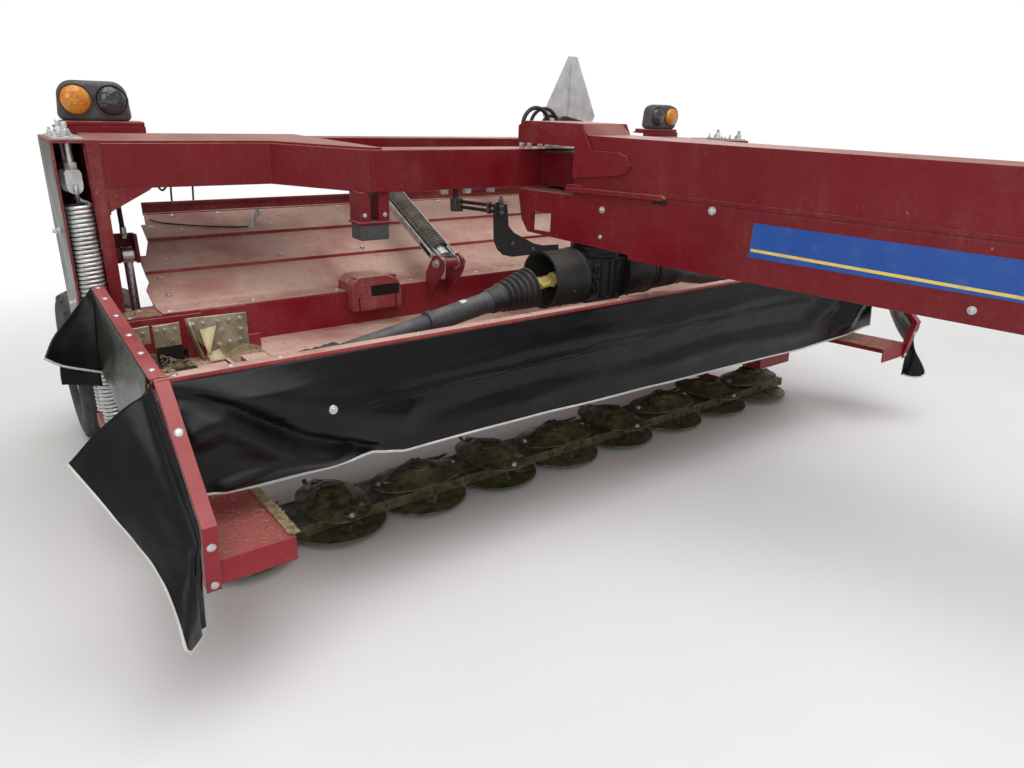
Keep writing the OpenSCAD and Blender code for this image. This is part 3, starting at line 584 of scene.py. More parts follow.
# the part of the flap left hanging inside
SIDE_INNER = [
    [(1872, 282, 760), (1873, 280, 728), (1874, 276, 700), (1874, 272, 670)],
    [(1912, 292, 780), (1916, 288, 745), (1920, 282, 712), (1922, 276, 680)],
    [(1955, 296, 800), (1962, 290, 762), (1968, 284, 728), (1970, 278, 692)],
    [(1980, 296, 812), (1988, 290, 772), (1994, 284, 735), (1996, 276, 697)],
]


def spline(a, b, c, d, t):
    """A place between b and c, on a curve that also runs through a and d."""
    bend = 2 * a - 5 * b + 4 * c - d
    twist = 3 * b - a - 3 * c + d
    return 0.5 * (2 * b + (c - a) * t + bend * t * t + twist * t ** 3)


def along(points, t):
    """A smooth curve through points, at t from 0 to 1."""
    place = min(t * (len(points) - 1), len(points) - 1 - 1e-9)
    i = int(place)
    before = points[i - 1] if i else points[0] * 2 - points[1]
    after = points[i + 2] if i + 2 < len(points) else points[-1] * 2 - points[-2]
    return spline(before, points[i], points[i + 1], after, place - i)


def hung_sheet(control, rows, columns, fold, side, roll=0):
    """Points of a cloth through a grid of control points, with soft waves and a roll along its fixed edge."""
    lines = [[Vector((side * x, y, z)) for x, y, z in row] for row in control]
    cloth = []
    for i in range(rows + 1):
        u = i / rows
        across = [along([line[k] for line in lines], u) for k in range(len(control[0]))]
        cloth.append([along(across, j / columns) for j in range(columns + 1)])
    waved = []
    for i, row in enumerate(cloth):
        out = []
        for j, p in enumerate(row):
            free = min(1.0, 1.6 * j / columns)
            q = Vector((p.x * side, p.y, p.z)) * 0.006
            push = fold * free * (noise.noise(q) + 0.3 * noise.noise(q * 2.3 + Vector((7, side, 3))))
            push -= roll * math.exp(-((j / columns - ROLL_AT) / ROLL_REACH) ** 2)
            before = cloth[max(0, i - 1)][j] - cloth[min(rows, i + 1)][j]
            beside = row[max(0, j - 1)] - row[min(columns, j + 1)]
            out.append(p + before.cross(beside).normalized() * push)
        waved.append(out)
    return waved


# soft bulges of the front curtain: place across, height, half width, half height, depth and lean
CURTAIN_FOLDS = [
    (-1560, 700, 360, 260, 20, 0.0), (-860, 760, 420, 30, 12, 0.03), (-700, 640, 380, 34, -12, 0.06),
    (-520, 590, 320, 34, 13, 0.03), (-120, 760, 360, 30, 11, -0.03), (60, 640, 380, 36, -10, 0.03),
    (280, 590, 340, 34, 14, 0.03), (560, 770, 380, 30, 11, 0.04), (760, 650, 360, 36, -12, -0.03),
    (1000, 580, 300, 36, 15, -0.04), (1200, 720, 240, 40, 14, -0.2), (1560, 700, 330, 240, 18, 0.0)]
# ridges and valleys of its crumpled ends: places across and up, depth and half width
CURTAIN_CREASES = [
    ([(-1782, 850), (-1650, 836), (-1522, 785), (-1404, 744), (-1140, 640)], 30, 52),
    ([(-1790, 838), (-1724, 812), (-1663, 778), (-1581, 716), (-1476, 645), (-1235, 548)], -36, 24),
    ([(-1760, 735), (-1672, 752), (-1552, 642), (-1400, 590)], 34, 46),
    ([(-1706, 562), (-1559, 584), (-1321, 566)], 20, 20),
    ([(-1360, 706), (-900, 711), (-300, 718), (400, 725), (1200, 735)], 6, 9),
    ([(1770, 840), (1600, 812), (1440, 730), (1250, 640)], 26, 48),
    ([(1780, 800), (1640, 742), (1520, 640), (1420, 560)], -28, 24),
    ([(1740, 690), (1650, 640), (1560, 560)], 24, 36)]
RING_RIVET = (-1380, 722)


def to_line(x, z, path):
    """Distance from a place on the curtain to a line through points."""
    best = 1e9
    for (ax, az), (bx, bz) in zip(path, path[1:]):
        dx, dz = bx - ax, bz - az
        t = max(0.0, min(1.0, ((x - ax) * dx + (z - az) * dz) / (dx * dx + dz * dz)))
        best = min(best, math.hypot((x - ax - t * dx) * 0.75, z - az - t * dz))
    return best


def front_curtain():
    columns, rows = 230, 52
    start, end = FRONT_SPAN
    wide = end - start
    hem = [Vector((x, 0, z)) for x, z in FRONT_HEM]
    cloth = []
    for i in range(columns + 1):
        u = i / columns
        x = start + wide * u
        k = max(n for n in range(len(hem) - 1) if hem[n].x <= x + 1e-6)
        t = (x - hem[k].x) / (hem[k + 1].x - hem[k].x)
        bottom = hem[k].z + (hem[k + 1].z - hem[k].z) * (t * t * (3 - 2 * t))
        line = []
        for j in range(rows + 1):
            v = j / rows
            z = CURTAIN_TOP + (bottom - CURTAIN_TOP) * v
            q = Vector((x, z, 0)) * MM
            push = 9 * noise.noise(Vector((q.x * 1.3, q.y * 6.0 + q.x * 0.8, 1)))
            push += 3 * noise.noise(Vector((q.x * 4.0, q.y * 9.0 - q.x * 2.0, 5)))
            for path, depth, w in CURTAIN_CREASES:
                push += depth * math.exp(-(to_line(x, z, path) / w) ** 2)
            for cx, cz, w, h, depth, lean in CURTAIN_FOLDS:
                dz = (z - cz - lean * (x - cx)) / h
                dx = (x - cx) / w
                push += depth * math.exp(-dx * dx - dz * dz)
            free = min(1.0, 5 * v)
            y = CURTAIN_FACE - 36 * v - free * (push + 6) - 6 * math.sin(math.pi * v)
            line.append(Vector((x, min(y, CURTAIN_FACE + 1.5), z)))
        cloth.append(line)

    def cloth_at(x, z):
        line = cloth[round((x - start) / wide * columns)]
        return min(line, key=lambda p: abs(p.z - z))

    shape = Shape()
    shape.grid(cloth)
    cover = shape.make("front_curtain_cloth", "header", CLOTH, solid=CLOTH_THICKNESS, slot="black")
    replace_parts(cover, "front_curtain")
    edge = Shape()
    edge.tube([line[-1] + Vector((0, -1, 0)) for line in cloth], 4.6, 6)
    hem_piece = edge.make("front_curtain_hem", "header", HEM, slot="black")
    seam = Shape()
    for drop in (0, 26):
        seam.tube([cloth_at(x, RING_RIVET[1] - drop + 0.012 * (x - RING_RIVET[0])) + Vector((0, -2.4, 0))
                   for x in range(RING_RIVET[0] + 20, 1700, 19)], 1.3, 5)
    seam_piece = seam.make("front_curtain_seam", "header", CLOTH, slot="black")
    rivets = Shape()
    rivets.lathe([(0, 7), (5, 7), (7, 4), (13, 4), (15, 1), (15, -3)],
                 cloth_at(*RING_RIVET) + Vector((0, -1, 0)), (0, -1, 0), 20)
    rivet_piece = rivets.make("front_curtain_rivets", "header", ZINC, slot="steel")


def side_sheets():
    kinds = (("end_curtain", END_CURTAIN, "end_curtains", 60, 30, 13, CLOTH, True),
             ("side_curtain", SIDE_PANEL, "side_curtains", 44, 24, 7, CLOTH_SIDE, False),
             ("side_flap", SIDE_FLAP, "side_curtains", 24, 24, 6, CLOTH, True),
             ("side_inner_flap", SIDE_INNER, "side_curtains", 18, 14, 4, CLOTH, False))
    for name, side in SIDES.items():
        for kind, control, node, rows, columns, fold, material, hemmed in kinds:
            roll = side * CURTAIN_ROLL if kind == "end_curtain" else 0
            cloth = hung_sheet(control, rows, columns, fold, side, roll)
            shape = Shape()
            shape.grid(cloth)
            piece = shape.make(f"{kind}_{name}", "header", material, solid=CLOTH_THICKNESS, slot="black")
            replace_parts(piece, node)
            border = [row[-1] for row in cloth]
            if kind == "end_curtain":
                border = border + cloth[-1][-2::-1]
            with_pieces = []
            if hemmed:
                edge = Shape()
                edge.tube(border, 4.2, 6)
                with_pieces = [edge.make(f"{kind}_hem_{name}", "header", HEM, slot="black")]


# Springs
def float_springs():
    """Close wound springs with a hook at each end, swept from the coil to the middle."""
    shape = Shape()
    low, high = SPRING_LOW + 22, SPRING_TOP - 6
    count = int((high - low) / SPRING_PITCH * 14)
    for side in (-1, 1):
        for y in SPRING_Y:
            x = side * SPRING_X
            path = []
            for i in range(count + 1):
                a = math.tau * i / 14
                path.append((x + SPRING_RADIUS * math.cos(a), y + SPRING_RADIUS * math.sin(a),
                             low + (high - low) * i / count))
            shape.tube(path, SPRING_WIRE, 7)
            for base, way, rise in ((high, 1, 30), (low, -1, 20)):
                hook = [(SPRING_RADIUS, 0), (30, 9), (12, 17), (0, rise)]
                shape.tube([(x + out, y, base + way * up) for out, up in hook], SPRING_WIRE, 7)
    piece = shape.make("float_spring_coils", "trail_frame", ZINC, slot="steel")
    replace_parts(piece, "float_springs")
    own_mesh(piece)


def spring_hangers():
    """Adjusting plates and nuts on the beam, with a clevis and hook over every spring."""
    on_beam = Shape(PITCHED)
    low = Shape()
    for s in (-1, 1):
        on_beam.slab(s, (1784, 1874), (405, 640), (FRAME_Z + 10, FRAME_Z + 18))
        for y in (430, 590):
            on_beam.bolt((s * SPRING_X, y, FRAME_Z + 18), (0, 0, 1), 25, height=24, stud=20)
            on_beam.bolt((s * SPRING_X - 26, y + 44, FRAME_Z + 18), (0, 0, 1), 13, height=10, stud=10)
        for y in SPRING_Y:
            x = s * SPRING_X
            low.rod((x, y, 1398), (x, y, 1500 + y * 0.07), 12)
            low.lathe([(0, 0), (21, 0), (22, 3), (22, 22), (20, 25), (0, 25)], (x, y, CLEVIS_TOP),
                      (0, 0, 1), 6, 0.3)
            cheek = [(x - 26, CLEVIS_FOOT), (x - 26, CLEVIS_TOP - 9), (x - 18, CLEVIS_TOP),
                     (x + 18, CLEVIS_TOP), (x + 26, CLEVIS_TOP - 9), (x + 26, CLEVIS_FOOT)]
            foot = [math.pi * k / 10 for k in range(1, 10)]
            cheek += [(x + 26 * math.cos(a), CLEVIS_FOOT - 28 * math.sin(a)) for a in foot]
            for a, b in ((-21, -14), (14, 21)):
                low.prism(cheek, y + a, y + b, "y")
            low.box((x - 22, y - 15, CLEVIS_TOP - 9), (x + 22, y + 15, CLEVIS_TOP))
            hook = smooth([(x + 4, y, 1296), (x + 2, y - 16, 1312), (x, y - 31, 1328), (x, y - 33, 1342),
                           (x, y - 24, 1352), (x, y, 1355), (x, y + 26, 1352)])
            low.tube(hook, SPRING_WIRE, 9)
            low.rod((x, y - 21, 1352), (x, y - 22, 1352), 10)
    for shape, name in ((on_beam, "spring_adjusters"), (low, "spring_clevises")):
        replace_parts(shape.make(name, "trail_frame", ZINC, slot="steel", bevel=1.5), "spring_hangers")


# Wheels
def tyre(name, side):
    """A tyre with its bar tread, and the wheel's nuts, valve and hub cap."""
    half = TYRE_WIDTH / 2
    centre = Vector((side * WHEEL[0], WHEEL[1], WHEEL[2]))
    shape = Shape()
    carcass = [(RIM_RADIUS + 4, -130), (RIM_RADIUS + 14, -142), (RIM_RADIUS + 40, -160), (285, -half + 2),
               (310, -half), (335, -half + 3), (358, -half + 10), (374, -half + 22), (383, -half + 36)]
    carcass += [(r, -h) for r, h in reversed(carcass)]
    shape.lathe(carcass, centre, (side, 0, 0), 132)
    for bar in range(TREAD_BARS):
        # every second bar runs out to the other shoulder
        way = -1 if bar % 2 else 1
        rings = []
        for k in range(7):
            t = k / 6
            across = way * (6 + 154 * t)
            drop = max(0.0, abs(across) - 108) * 0.42
            middle = math.tau * bar / TREAD_BARS + 0.34 * t
            ring = []
            for top, width, end in ((TREAD_FOOT, 50.6, -1), (TREAD_TOP, 44, -1), (TREAD_TOP, 44, 1),
                                    (TREAD_FOOT, 50.6, 1)):
                a = middle + end * width / TREAD_TOP / 2
                r = top - drop
                ring.append(centre + Vector((side * across, r * math.cos(a), r * math.sin(a))))
            rings.append(ring)
        shape.loft(rings)
    piece = shape.make(f"tyre_tread_{name}", f"wheel_{name}", TYRE, slot="tyre", sharp=30)
    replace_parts(piece, f"wheel_tyre_{name}")
    nuts = Shape()
    for i in range(6):
        a = math.tau * (i + 0.5) / 6
        at = centre + Vector((side * 38, 105 * math.cos(a), 105 * math.sin(a)))
        nuts.bolt(at, (side, 0, 0), 17, 13, stud=10)
    nuts.lathe([(5, 0), (5, 34), (3.5, 36), (3.5, 44), (0, 44)], centre + Vector((side * 52, 0, 168)),
               (side, 0, -0.35), 10)
    nuts.lathe([(38, 0), (38, 6), (33, 9), (0, 9)], centre + Vector((side * 90, 0, 0)), (side, 0, 0), 24)
    nuts.make(f"wheel_nuts_{name}", f"wheel_{name}", ZINC, slot="steel")


# Discs
def disc(index):
    """One oblong cutting disc with its raised dome, knife holders, knives and deflectors."""
    x = (index - (DISC_COUNT + 1) / 2) * DISC_PITCH
    turned = math.pi / 2 if index % 2 == 0 else 0.0
    shape = Shape(MACHINE @ Matrix.Translation((x, 0, DISC_Z)) @ Matrix.Rotation(turned, 4, "Z"))
    rings = []
    turns = [math.tau * i / 56 for i in range(56)]
    for scale, z in ((1, 0.5), (1, 6), (0.93, 11), (0.80, 16), (0.62, 27), (0.50, 44), (0.36, 54)):
        rings.append([(DISC_HALF_LENGTH * scale * math.cos(a),
                       DISC_HALF_WIDTH * scale * math.sin(a) * (1 + 0.10 * math.cos(a) ** 2), z)
                      for a in turns])
    shape.loft(rings)
    shape.lathe([(62, 50), (60, 56), (50, 60), (48, 62), (24, 64), (22, 60), (0, 60)], (0, 0, 0),
                (0, 0, 1), 28)
    for s in (1, -1):
        for b in (0.9, 1.4):
            shape.bolt((s * 44 * math.cos(b), s * 44 * math.sin(b), 61), (0, 0, 1), 9)
        # raised rib that sweeps from the dome to the tip
        rib = [(60, -34), (186, -26), (200, 6), (150, 34), (60, 30)]
        shape.prism([(s * a, s * b) for a, b in rib], 8, 19, "z")
    shape.paint = 1
    for s in (-1, 1):
        # twisted knife on its pin, and the turned-up deflector beside it
        rows = []
        for k in range(7):
            t = k / 6
            tilt = 0.10 + 0.30 * t
            base = Vector((s * (168 + 74 * t), 0, -1.8 + 0.6 * t))
            width = 23 - 3 * t
            rows.append([base + Vector((0, w * width * math.cos(tilt), w * width * math.sin(tilt) * 0.22))
                         for w in (-1, -0.4, 0.4, 1)])
        shape.grid(rows)
        shape.lathe([(12, -5), (15, -2), (15, 18), (10, 26), (0, 26)], (s * 185, 0, 0), (0, 0, 1), 14)
        flap = []
        for k in range(6):
            t = k / 5
            flap.append([(s * (92 + 92 * t), s * (52 + 20 * w - 14 * t), 20 + 20 * t * t + 16 * w * (1 - t))
                         for w in (0, 0.5, 1)])
        shape.grid(flap)
    piece = shape.make(f"cutting_disc_{index}", f"cutter_{index}", OLIVE, KNIFE, slot="olive", sharp=32)
    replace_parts(piece, f"disc_{index}")


# Lamps and sign
def lamps():
    for name, material, at, slot in (("amber_lenses", AMBER, AMBER_X, "amber"),
                                     ("smoke_lenses", SMOKE, SMOKE_X, "dark")):
        shape = Shape(PITCHED)
        for side in (-1, 1):
            shape.lathe([(55, -10), (55, 2), (52, 10), (42, 19), (24, 25), (0, 27)],
                        (side * at, LAMP_FACE, LAMP_Z), (0, -1, 0), 36)
        piece = shape.make(name, "trail_frame", material, slot=slot)
        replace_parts(piece, "lamp_lenses")
    housing = Shape(PITCHED)
    outline = []
    corners = [(1759, 1542, 26, -90), (1717, 1605, 62, 0), (1585, 1611, 56, 90), (1547, 1540, 24, 180)]
    for x, z, r, begin in corners:
        for k in range(9):
            a = math.radians(begin + 90 * k / 8)
            outline.append(Vector((x + r * math.cos(a), z + r * math.sin(a))))
    middle = Vector((1654, 1590))
    for side in (-1, 1):
        rings = []
        for y, inset in ((988, 20), (978, 5), (950, 0), (926, 0), (912, 4), (905, 10), (LAMP_FACE, 19)):
            row = [p + (middle - p) * inset / 78 for p in outline]
            rings.append([(side * p.x, y, p.y) for p in row])
        housing.loft(rings)
        for x in (AMBER_X, SMOKE_X):
            housing.lathe([(56, -8), (63, -6), (63, 3), (61, 6), (58, 6), (56, 3)],
                          (side * x, LAMP_FACE, LAMP_Z), (0, -1, 0), 36)
    cover = housing.make("lamp_housing_shells", "trail_frame", PLASTIC, slot="dark", sharp=50)
    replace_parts(cover, "lamp_housings")
    lips = Shape(PITCHED)
    for s in (-1, 1):
        lips.slab(s, (1482, 1790), (900, 990), (1497, 1517))
    lips.make("lamp_shelf_lips", "trail_frame", RED, slot="red", bevel=6)
    face = Shape(PITCHED)
    face.prism([(657, 1586), (675, 1554), (1045, 1554), (1063, 1586), (892, 1906), (828, 1906)],
               933.2, 934.4, "y")
    face.make("sign_border", "trail_frame", EMBLEM_RED, slot="red")
    inner = Shape(PITCHED)
    inner.prism([(708, 1590), (1012, 1590), (866, 1862), (854, 1862)], 934.5, 935.4, "y")
    inner.make("sign_face", "trail_frame", EMBLEM_ORANGE, slot="amber")


# Tongue stripe
def tongue_stripe():
    for name, side in SIDES.items():
        band = Shape(TONGUE)
        band.prism([(-752, 1175), (-752, 1293), (-2000, 1293), (-2000, 1175)], *span(side, 150.2, 151.0))
        band.make(f"side_band_{name}", "tongue", BLUE, slot="dark")
        line = Shape(TONGUE)
        line.prism([(-756, 1196), (-756, 1206), (-1996, 1188), (-1996, 1178)], *span(side, 151.1, 151.5))
        line.make(f"side_band_line_{name}", "tongue", STRIPE_YELLOW, slot="rim")


def tongue_skins():
    """Thin side sheets that close the butted plates of the tongue."""
    for name, side in SIDES.items():
        skin = Shape(TONGUE)
        for outline in ([(-3190, 1337), (-3190, 1532), (-70, 1532), (-70, 1337)],
                        [(-2880, 1112), (-262, 1112), (-100, 1119), (-100, 1326), (-2880, 1326)]):
            skin.prism(outline, *span(side, 149.8, 150.12))
        skin.make(f"tongue_skin_{name}", "tongue", RED, slot="red")


# Side drivelines
def driveline(name, side):
    """The shaft from the swivel gearbox to one end: yoke, ribbed boots, guard tube and a blank label."""
    start = Vector((side * SHAFT_START[0], *SHAFT_START[1:]))
    end = Vector((side * SHAFT_END[0], *SHAFT_END[1:]))
    way = (end - start).normalized()
    length = (end - start).length
    side_way = way.cross(Vector((0, 0, 1))).normalized()
    body = f"driveline_{name}"
    yoke = Shape()
    yoke.lathe([(0, -20), (18, -16), (26, -4), (30, 14), (30, 30), (24, 36), (24, 110), (34, 118), (34, 180),
                (0, 180)], start, way, 24)
    for s in (-1, 1):
        for a, a_out, b, b_out, r in ((66, 12, 66, 50, 15), (36, 40, 116, 34, 13)):
            yoke.rod(start + way * a + side_way * a_out * s, start + way * b + side_way * b_out * s, r)
    yoke_piece = yoke.make(f"drive_yoke_{name}", body, YELLOW, slot="rim")
    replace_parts(yoke_piece, f"drive_tube_{name}")
    boot = Shape()
    rings = [(70, 150), (84, 156), (84, 162)]
    for k in range(6):
        r = 82 - 4.4 * k
        at = 168 + 24 * k
        rings += [(r - 9, at), (r - 9, at + 4), (r, at + 11), (r - 1, at + 17)]
    rings += [(52, 314), (50, 330), (50, 352), (46, 360), (40, 362)]
    boot.lathe(rings, start, way, 40)
    far = length - 190
    rings = [(40, 0), (50, 6), (50, 30), (52, 44), (48, 58), (54, 72), (50, 88), (57, 104), (57, 150),
             (52, 154), (52, 170), (0, 172)]
    boot.lathe([(r, far + at) for r, at in rings], start, way, 36)
    boot.make(f"drive_boots_{name}", body, BOOT, slot="black")
    tube = Shape()
    middle = 0.52 * length
    steps = [(44, 356), (44, 372), (41, 378)]
    for k in range(9):
        at = 392 + k * (middle - 400) / 9
        steps += [(41, at), (40.3, at + 2), (40.3, at + 5), (41, at + 7)]
    steps += [(41, middle), (46, middle + 3), (46, middle + 22), (36, middle + 26), (36, far - 8),
              (44, far - 4), (44, far + 8)]
    tube.lathe(steps, start, way, 32)
    tube.make(f"drive_guard_{name}", body, PLASTIC, slot="dark")
    label = Shape()
    up = side_way.cross(way).normalized()
    centre = start + way * 0.40 * length
    patch = []
    for k in range(5):
        a = -0.5 + 0.25 * k
        radial = (up * math.cos(a) + side_way * math.sin(a) * side) * 41.6
        patch.append([centre + radial + way * w for w in (-14, 14)])
    label.grid(patch)
    label.make(f"drive_label_{name}", body, LABEL, slot="rim", solid=0.4)


# Hoses over the beam, at the cylinders and behind the deck
HOSE_BUNDLE = [(64, 112, 1478), (66, 112, 1540), (110, 114, 1590), (200, 116, 1578), (300, 114, 1556),
               (372, 112, 1538), (420, 116, 1506), (430, 118, 1470)]
# each loop's place across, radius, tube radius, place along and straight height
HOSE_LOOPS = [(-52, 72, 9, 100, 92), (12, 78, 8, 122, 84), (72, 62, 8, 142, 70)]
REAR_CABLE = [(-1372, 904, 1352), (-1368, 1000, 1334), (-1363, 1105, 1272), (-1362, 1150, 1180),
              (-1358, 1158, 1080), (-1342, 1162, 1014), (-1313, 1164, 990), (-1284, 1162, 1014),
              (-1268, 1158, 1080), (-1266, 1150, 1180), (-1268, 1105, 1276), (-1276, 1000, 1336),
              (-1284, 904, 1354)]
BEAM_CABLE = [(-1468, 902, 1330), (-1467, 912, 1296), (-1462, 916, 1258), (-1445, 918, 1238),
              (-1428, 916, 1258), (-1423, 912, 1296), (-1422, 902, 1330)]
CYLINDER_HOSE = [(1648, 748, 1352), (1654, 722, 1338), (1658, 704, 1300), (1660, 698, 1230),
                 (1659, 697, 1160), (1657, 697, 1100)]


def smooth(points, steps=6):
    """A finer curve through points."""
    points = [Vector(p) for p in points]
    count = (len(points) - 1) * steps
    return [along(points, i / count) for i in range(count + 1)]


def hose(name, points, radius, node=None):
    """A hose or cable held at both ends."""
    shape = Shape(PITCHED)
    shape.tube(points, radius, 9)
    piece = shape.make(name, "trail_frame", HOSE, slot="black")
    if node:
        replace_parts(piece, node)


def hoses():
    ends = Shape(PITCHED)
    for k, (x, radius, tube, y, rise) in enumerate(HOSE_LOOPS, 1):
        turns = [math.pi * i / 24 for i in range(25)]
        arc = [(x + radius * math.cos(a), y, FRAME_Z + rise + radius * math.sin(a)) for a in turns]
        points = [Vector(p) for p in [(x + radius, y, FRAME_Z + 4), *arc, (x - radius, y, FRAME_Z + 4)]]
        hose(f"beam_hose_{k}", points, tube, "frame_hoses")
        for s in (-1, 1):
            ends.lathe([(0, 0), (tube + 5, 0), (tube + 5, 16), (tube + 2, 18), (tube + 2, 40), (0, 40)],
                       (x + s * radius, y, FRAME_Z), (0, 0, 1), 6)
    for name, side in SIDES.items():
        points = [Vector((side * x, y, z)) for x, y, z in smooth(CYLINDER_HOSE)]
        hose(f"cylinder_hose_{name}", points, 9.5, "frame_hoses")
        for at, way, neck, top in ((points[-1] + Vector((0, 0, -16)), (0, 0, 1), 14, 44),
                                   (points[0] + Vector((0, 3, 2)), (0, -1, -0.35), 12, 26)):
            ends.lathe([(0, 0), (15, 0), (15, neck), (12, neck + 2), (12, top), (0, top)], at, way, 6)
    for k, (shift, drop) in enumerate(((0, 0), (20, -12)), 1):
        points = [p + Vector((shift * 0.5, shift, drop if 1 < i < 40 else 0))
                  for i, p in enumerate(smooth(HOSE_BUNDLE))]
        points = smooth(points[::4], 4)
        hose(f"beam_hose_bundle_{k}", points, 7.5)
        for p in (points[0], points[-1]):
            ends.rod((p.x, p.y, FRAME_Z), (p.x, p.y, FRAME_Z + 12), 12, 6)
    for name, path in (("rear_cable", REAR_CABLE), ("beam_cable", BEAM_CABLE)):
        hose(name, smooth(path), 4.5)
        for x, _, z in (path[0], path[-1]):
            ends.lathe([(0, 0), (9, 0), (9, 8), (6, 9), (6, 12), (0, 12)], (x, 899, z), (0, 1, 0), 12)
    ends.make("hose_ends", "trail_frame", ZINC, slot="steel")


# Frame details
def beam_details():
    bolts = Shape(PITCHED)
    for s in (-1, 1):
        for y in (512, 540):
            bolts.bolt((s * 1806, y, FRAME_Z + 18), (0, 0, 1), 10, stud=3)
        for y, z, size, stud in ((560, 1150, 20, 8), (480, 900, 16, 6)):
            bolts.bolt((s * (LEG_OUT + 8), y, z), (s, 0, 0), size, stud=stud)
        for x in (1540, 1700):
            for z in (1380, 1440):
                bolts.bolt((s * x, 906, z), (0, 1, 0), 13)
        for x in (845, 930):
            bolts.bolt((s * x, 14, 1225), (0, -1, 0), 9)
    for x in (-579, -468, -349):
        bolts.box((x - 14, 3, 1292), (x + 14, 24, 1311))
    for z in (1600, 1640, 1820):
        bolts.bolt((860, 930, z), (0, -1, 0), 8)
    bolts.make("frame_bolts", "trail_frame", ZINC, slot="steel", bevel=0.6)
    beads = Shape(PITCHED)
    low, high = BEAM_BOTTOM, FRAME_Z
    # each weld's start, end and radius
    welds = [((1150, 391, low + 4), (1150, 391, high - 4), 3.2),
             ((1150, 392, high - 1), (1122, 540, high - 1), 3.2),
             ((915, -1, low + 4), (915, -1, high - 4), 3.2), ((915, 0, high - 1), (887, 148, high - 1), 3.2),
             ((LEG_X - 1, 391, 1222), (LEG_X - 1, 391, high - 4), 3.6),
             ((LEG_X + 42, 391, 900), (LEG_X + 47, 391, high - 10), 2.6),
             ((LEG_X, 751, low), (LEG_X, 898, low), 3.6), ((825, 15, low), (825, 105, low), 3.0),
             ((950, 15, low), (950, 105, low), 3.0), ((80, 0, low + 12), (80, 0, high - 12), 4.0)]
    for s in (-1, 1):
        for a, b, r in welds:
            beads.weld([(s * a[0], a[1], a[2]), (s * b[0], b[1], b[2])], r)
    beads.make("frame_welds", "trail_frame", RED, slot="red")
    pads = Shape(PITCHED)
    plates = Shape(PITCHED)
    notch_shade = Shape(PITCHED)
    for s in (-1, 1):
        pads.slab(s, (827, 948), (17, 103), (1128, 1188))
        plates.prism([(393, 1462), (393, 851), (602, 641), (731, 641), (731, 1462)],
                     *span(s, LEG_OUT + 8, LEG_OUT + 9))
        plates.prism([(394, 1280), (394, 852), (602, 642), (718, 642), (718, 1280)],
                     *span(s, LEG_OUT - 0.2, LEG_OUT))
        # Painted shade: a dark arch sheet on the lamp shelf's face stands for the shade inside the cable
        # notch
        x = s * NOTCH_X
        turns = [math.pi * k / 10 for k in range(11)]
        arch = [(x + 22 * math.cos(a), 1460 + 20 * math.sin(a)) for a in turns]
        notch_shade.prism([(x + 22, 1456), *arch, (x - 22, 1456)], 904.2, 904.9, "y")
    pads.make("stop_rubbers", "trail_frame", PLASTIC, slot="dark", bevel=5)
    plates.make("leg_plate_faces", "trail_frame", MUD_PLATE, slot="dark")
    notch_shade.make("lamp_cable_notch_shade", "trail_frame", PAINTED_SHADE, slot="dark")


# Tongue details
def tongue_details():
    lips = Shape(TONGUE)
    seams = Shape(TONGUE)
    dark = Shape(TONGUE)
    bolts = Shape(TONGUE)
    for s in (-1, 1):
        lips.prism([(55, 1318), (-392, 1328), (-406, 1335), (-392, 1346), (55, 1336)], *span(s, 149, 166))
        lips.weld([(s * 163, 50, 1345), (s * 163, -40, 1345)], 3)
        seams.prism([(-262, 1318), (-424, 1338), (-424, 1352), (-3195, 1352), (-3195, 1340), (-440, 1340)],
                    *span(s, 149, 153.5))
        # Painted shade: thin dark strips on the tongue's sides stand for the shade inside its slots
        dark.prism([(-350, 1312), (-412, 1314), (-412, 1323), (-350, 1321)], *span(s, 151, 154.4))
        for y, z, size in ((-124, 1263, 14), (-593, 1315, 15), (-125, 1156, 9), (-1450, 1130, 13),
                           (-2300, 1130, 13), (-2950, 1300, 15), (-2950, 1180, 13)):
            bolts.bolt((s * 150, y, z), (s, 0, 0), size, stud=2)
        for y in (-4390, -4330):
            bolts.bolt((s * 150, y, 930), (s, 0, 0), 18, stud=6)
    for x in (-34, 34):
        for z in (885, 975):
            bolts.bolt((x, -4462, z), (0, -1, 0), 14, stud=5)
    lips.make("tongue_lips", "tongue", RED, slot="red", bevel=4)
    seams.make("tongue_seams", "tongue", RED, slot="red", bevel=1.5)
    dark.make("tongue_slot_shade", "tongue", PAINTED_SHADE, slot="dark")
    bolts.make("tongue_bolts", "tongue", ZINC, slot="steel", bevel=0.6)
    guard = Shape(TONGUE)
    joint_end = Vector((0, -4570, 1092))
    tube_start = Vector((0, -4440, 1120))
    tube_end = Vector((0, -3260, 1190))
    rings = [(46, -20), (60, -16), (60, 10)]
    for k in range(5):
        rings += [(62, 14 + 20 * k), (70, 22 + 20 * k), (62, 30 + 20 * k)]
    guard.lathe(rings + [(56, 118), (50, 126)], joint_end, tube_start - joint_end, 32)
    for t in (0.10, 0.48, 0.52, 0.90):
        at = tube_start.lerp(tube_end, t)
        guard.lathe([(46, -9), (52, -8), (52, 8), (46, 9)], at, tube_end - tube_start, 28)
    guard.make("tongue_drive_guard", "tongue", BOOT, slot="black")


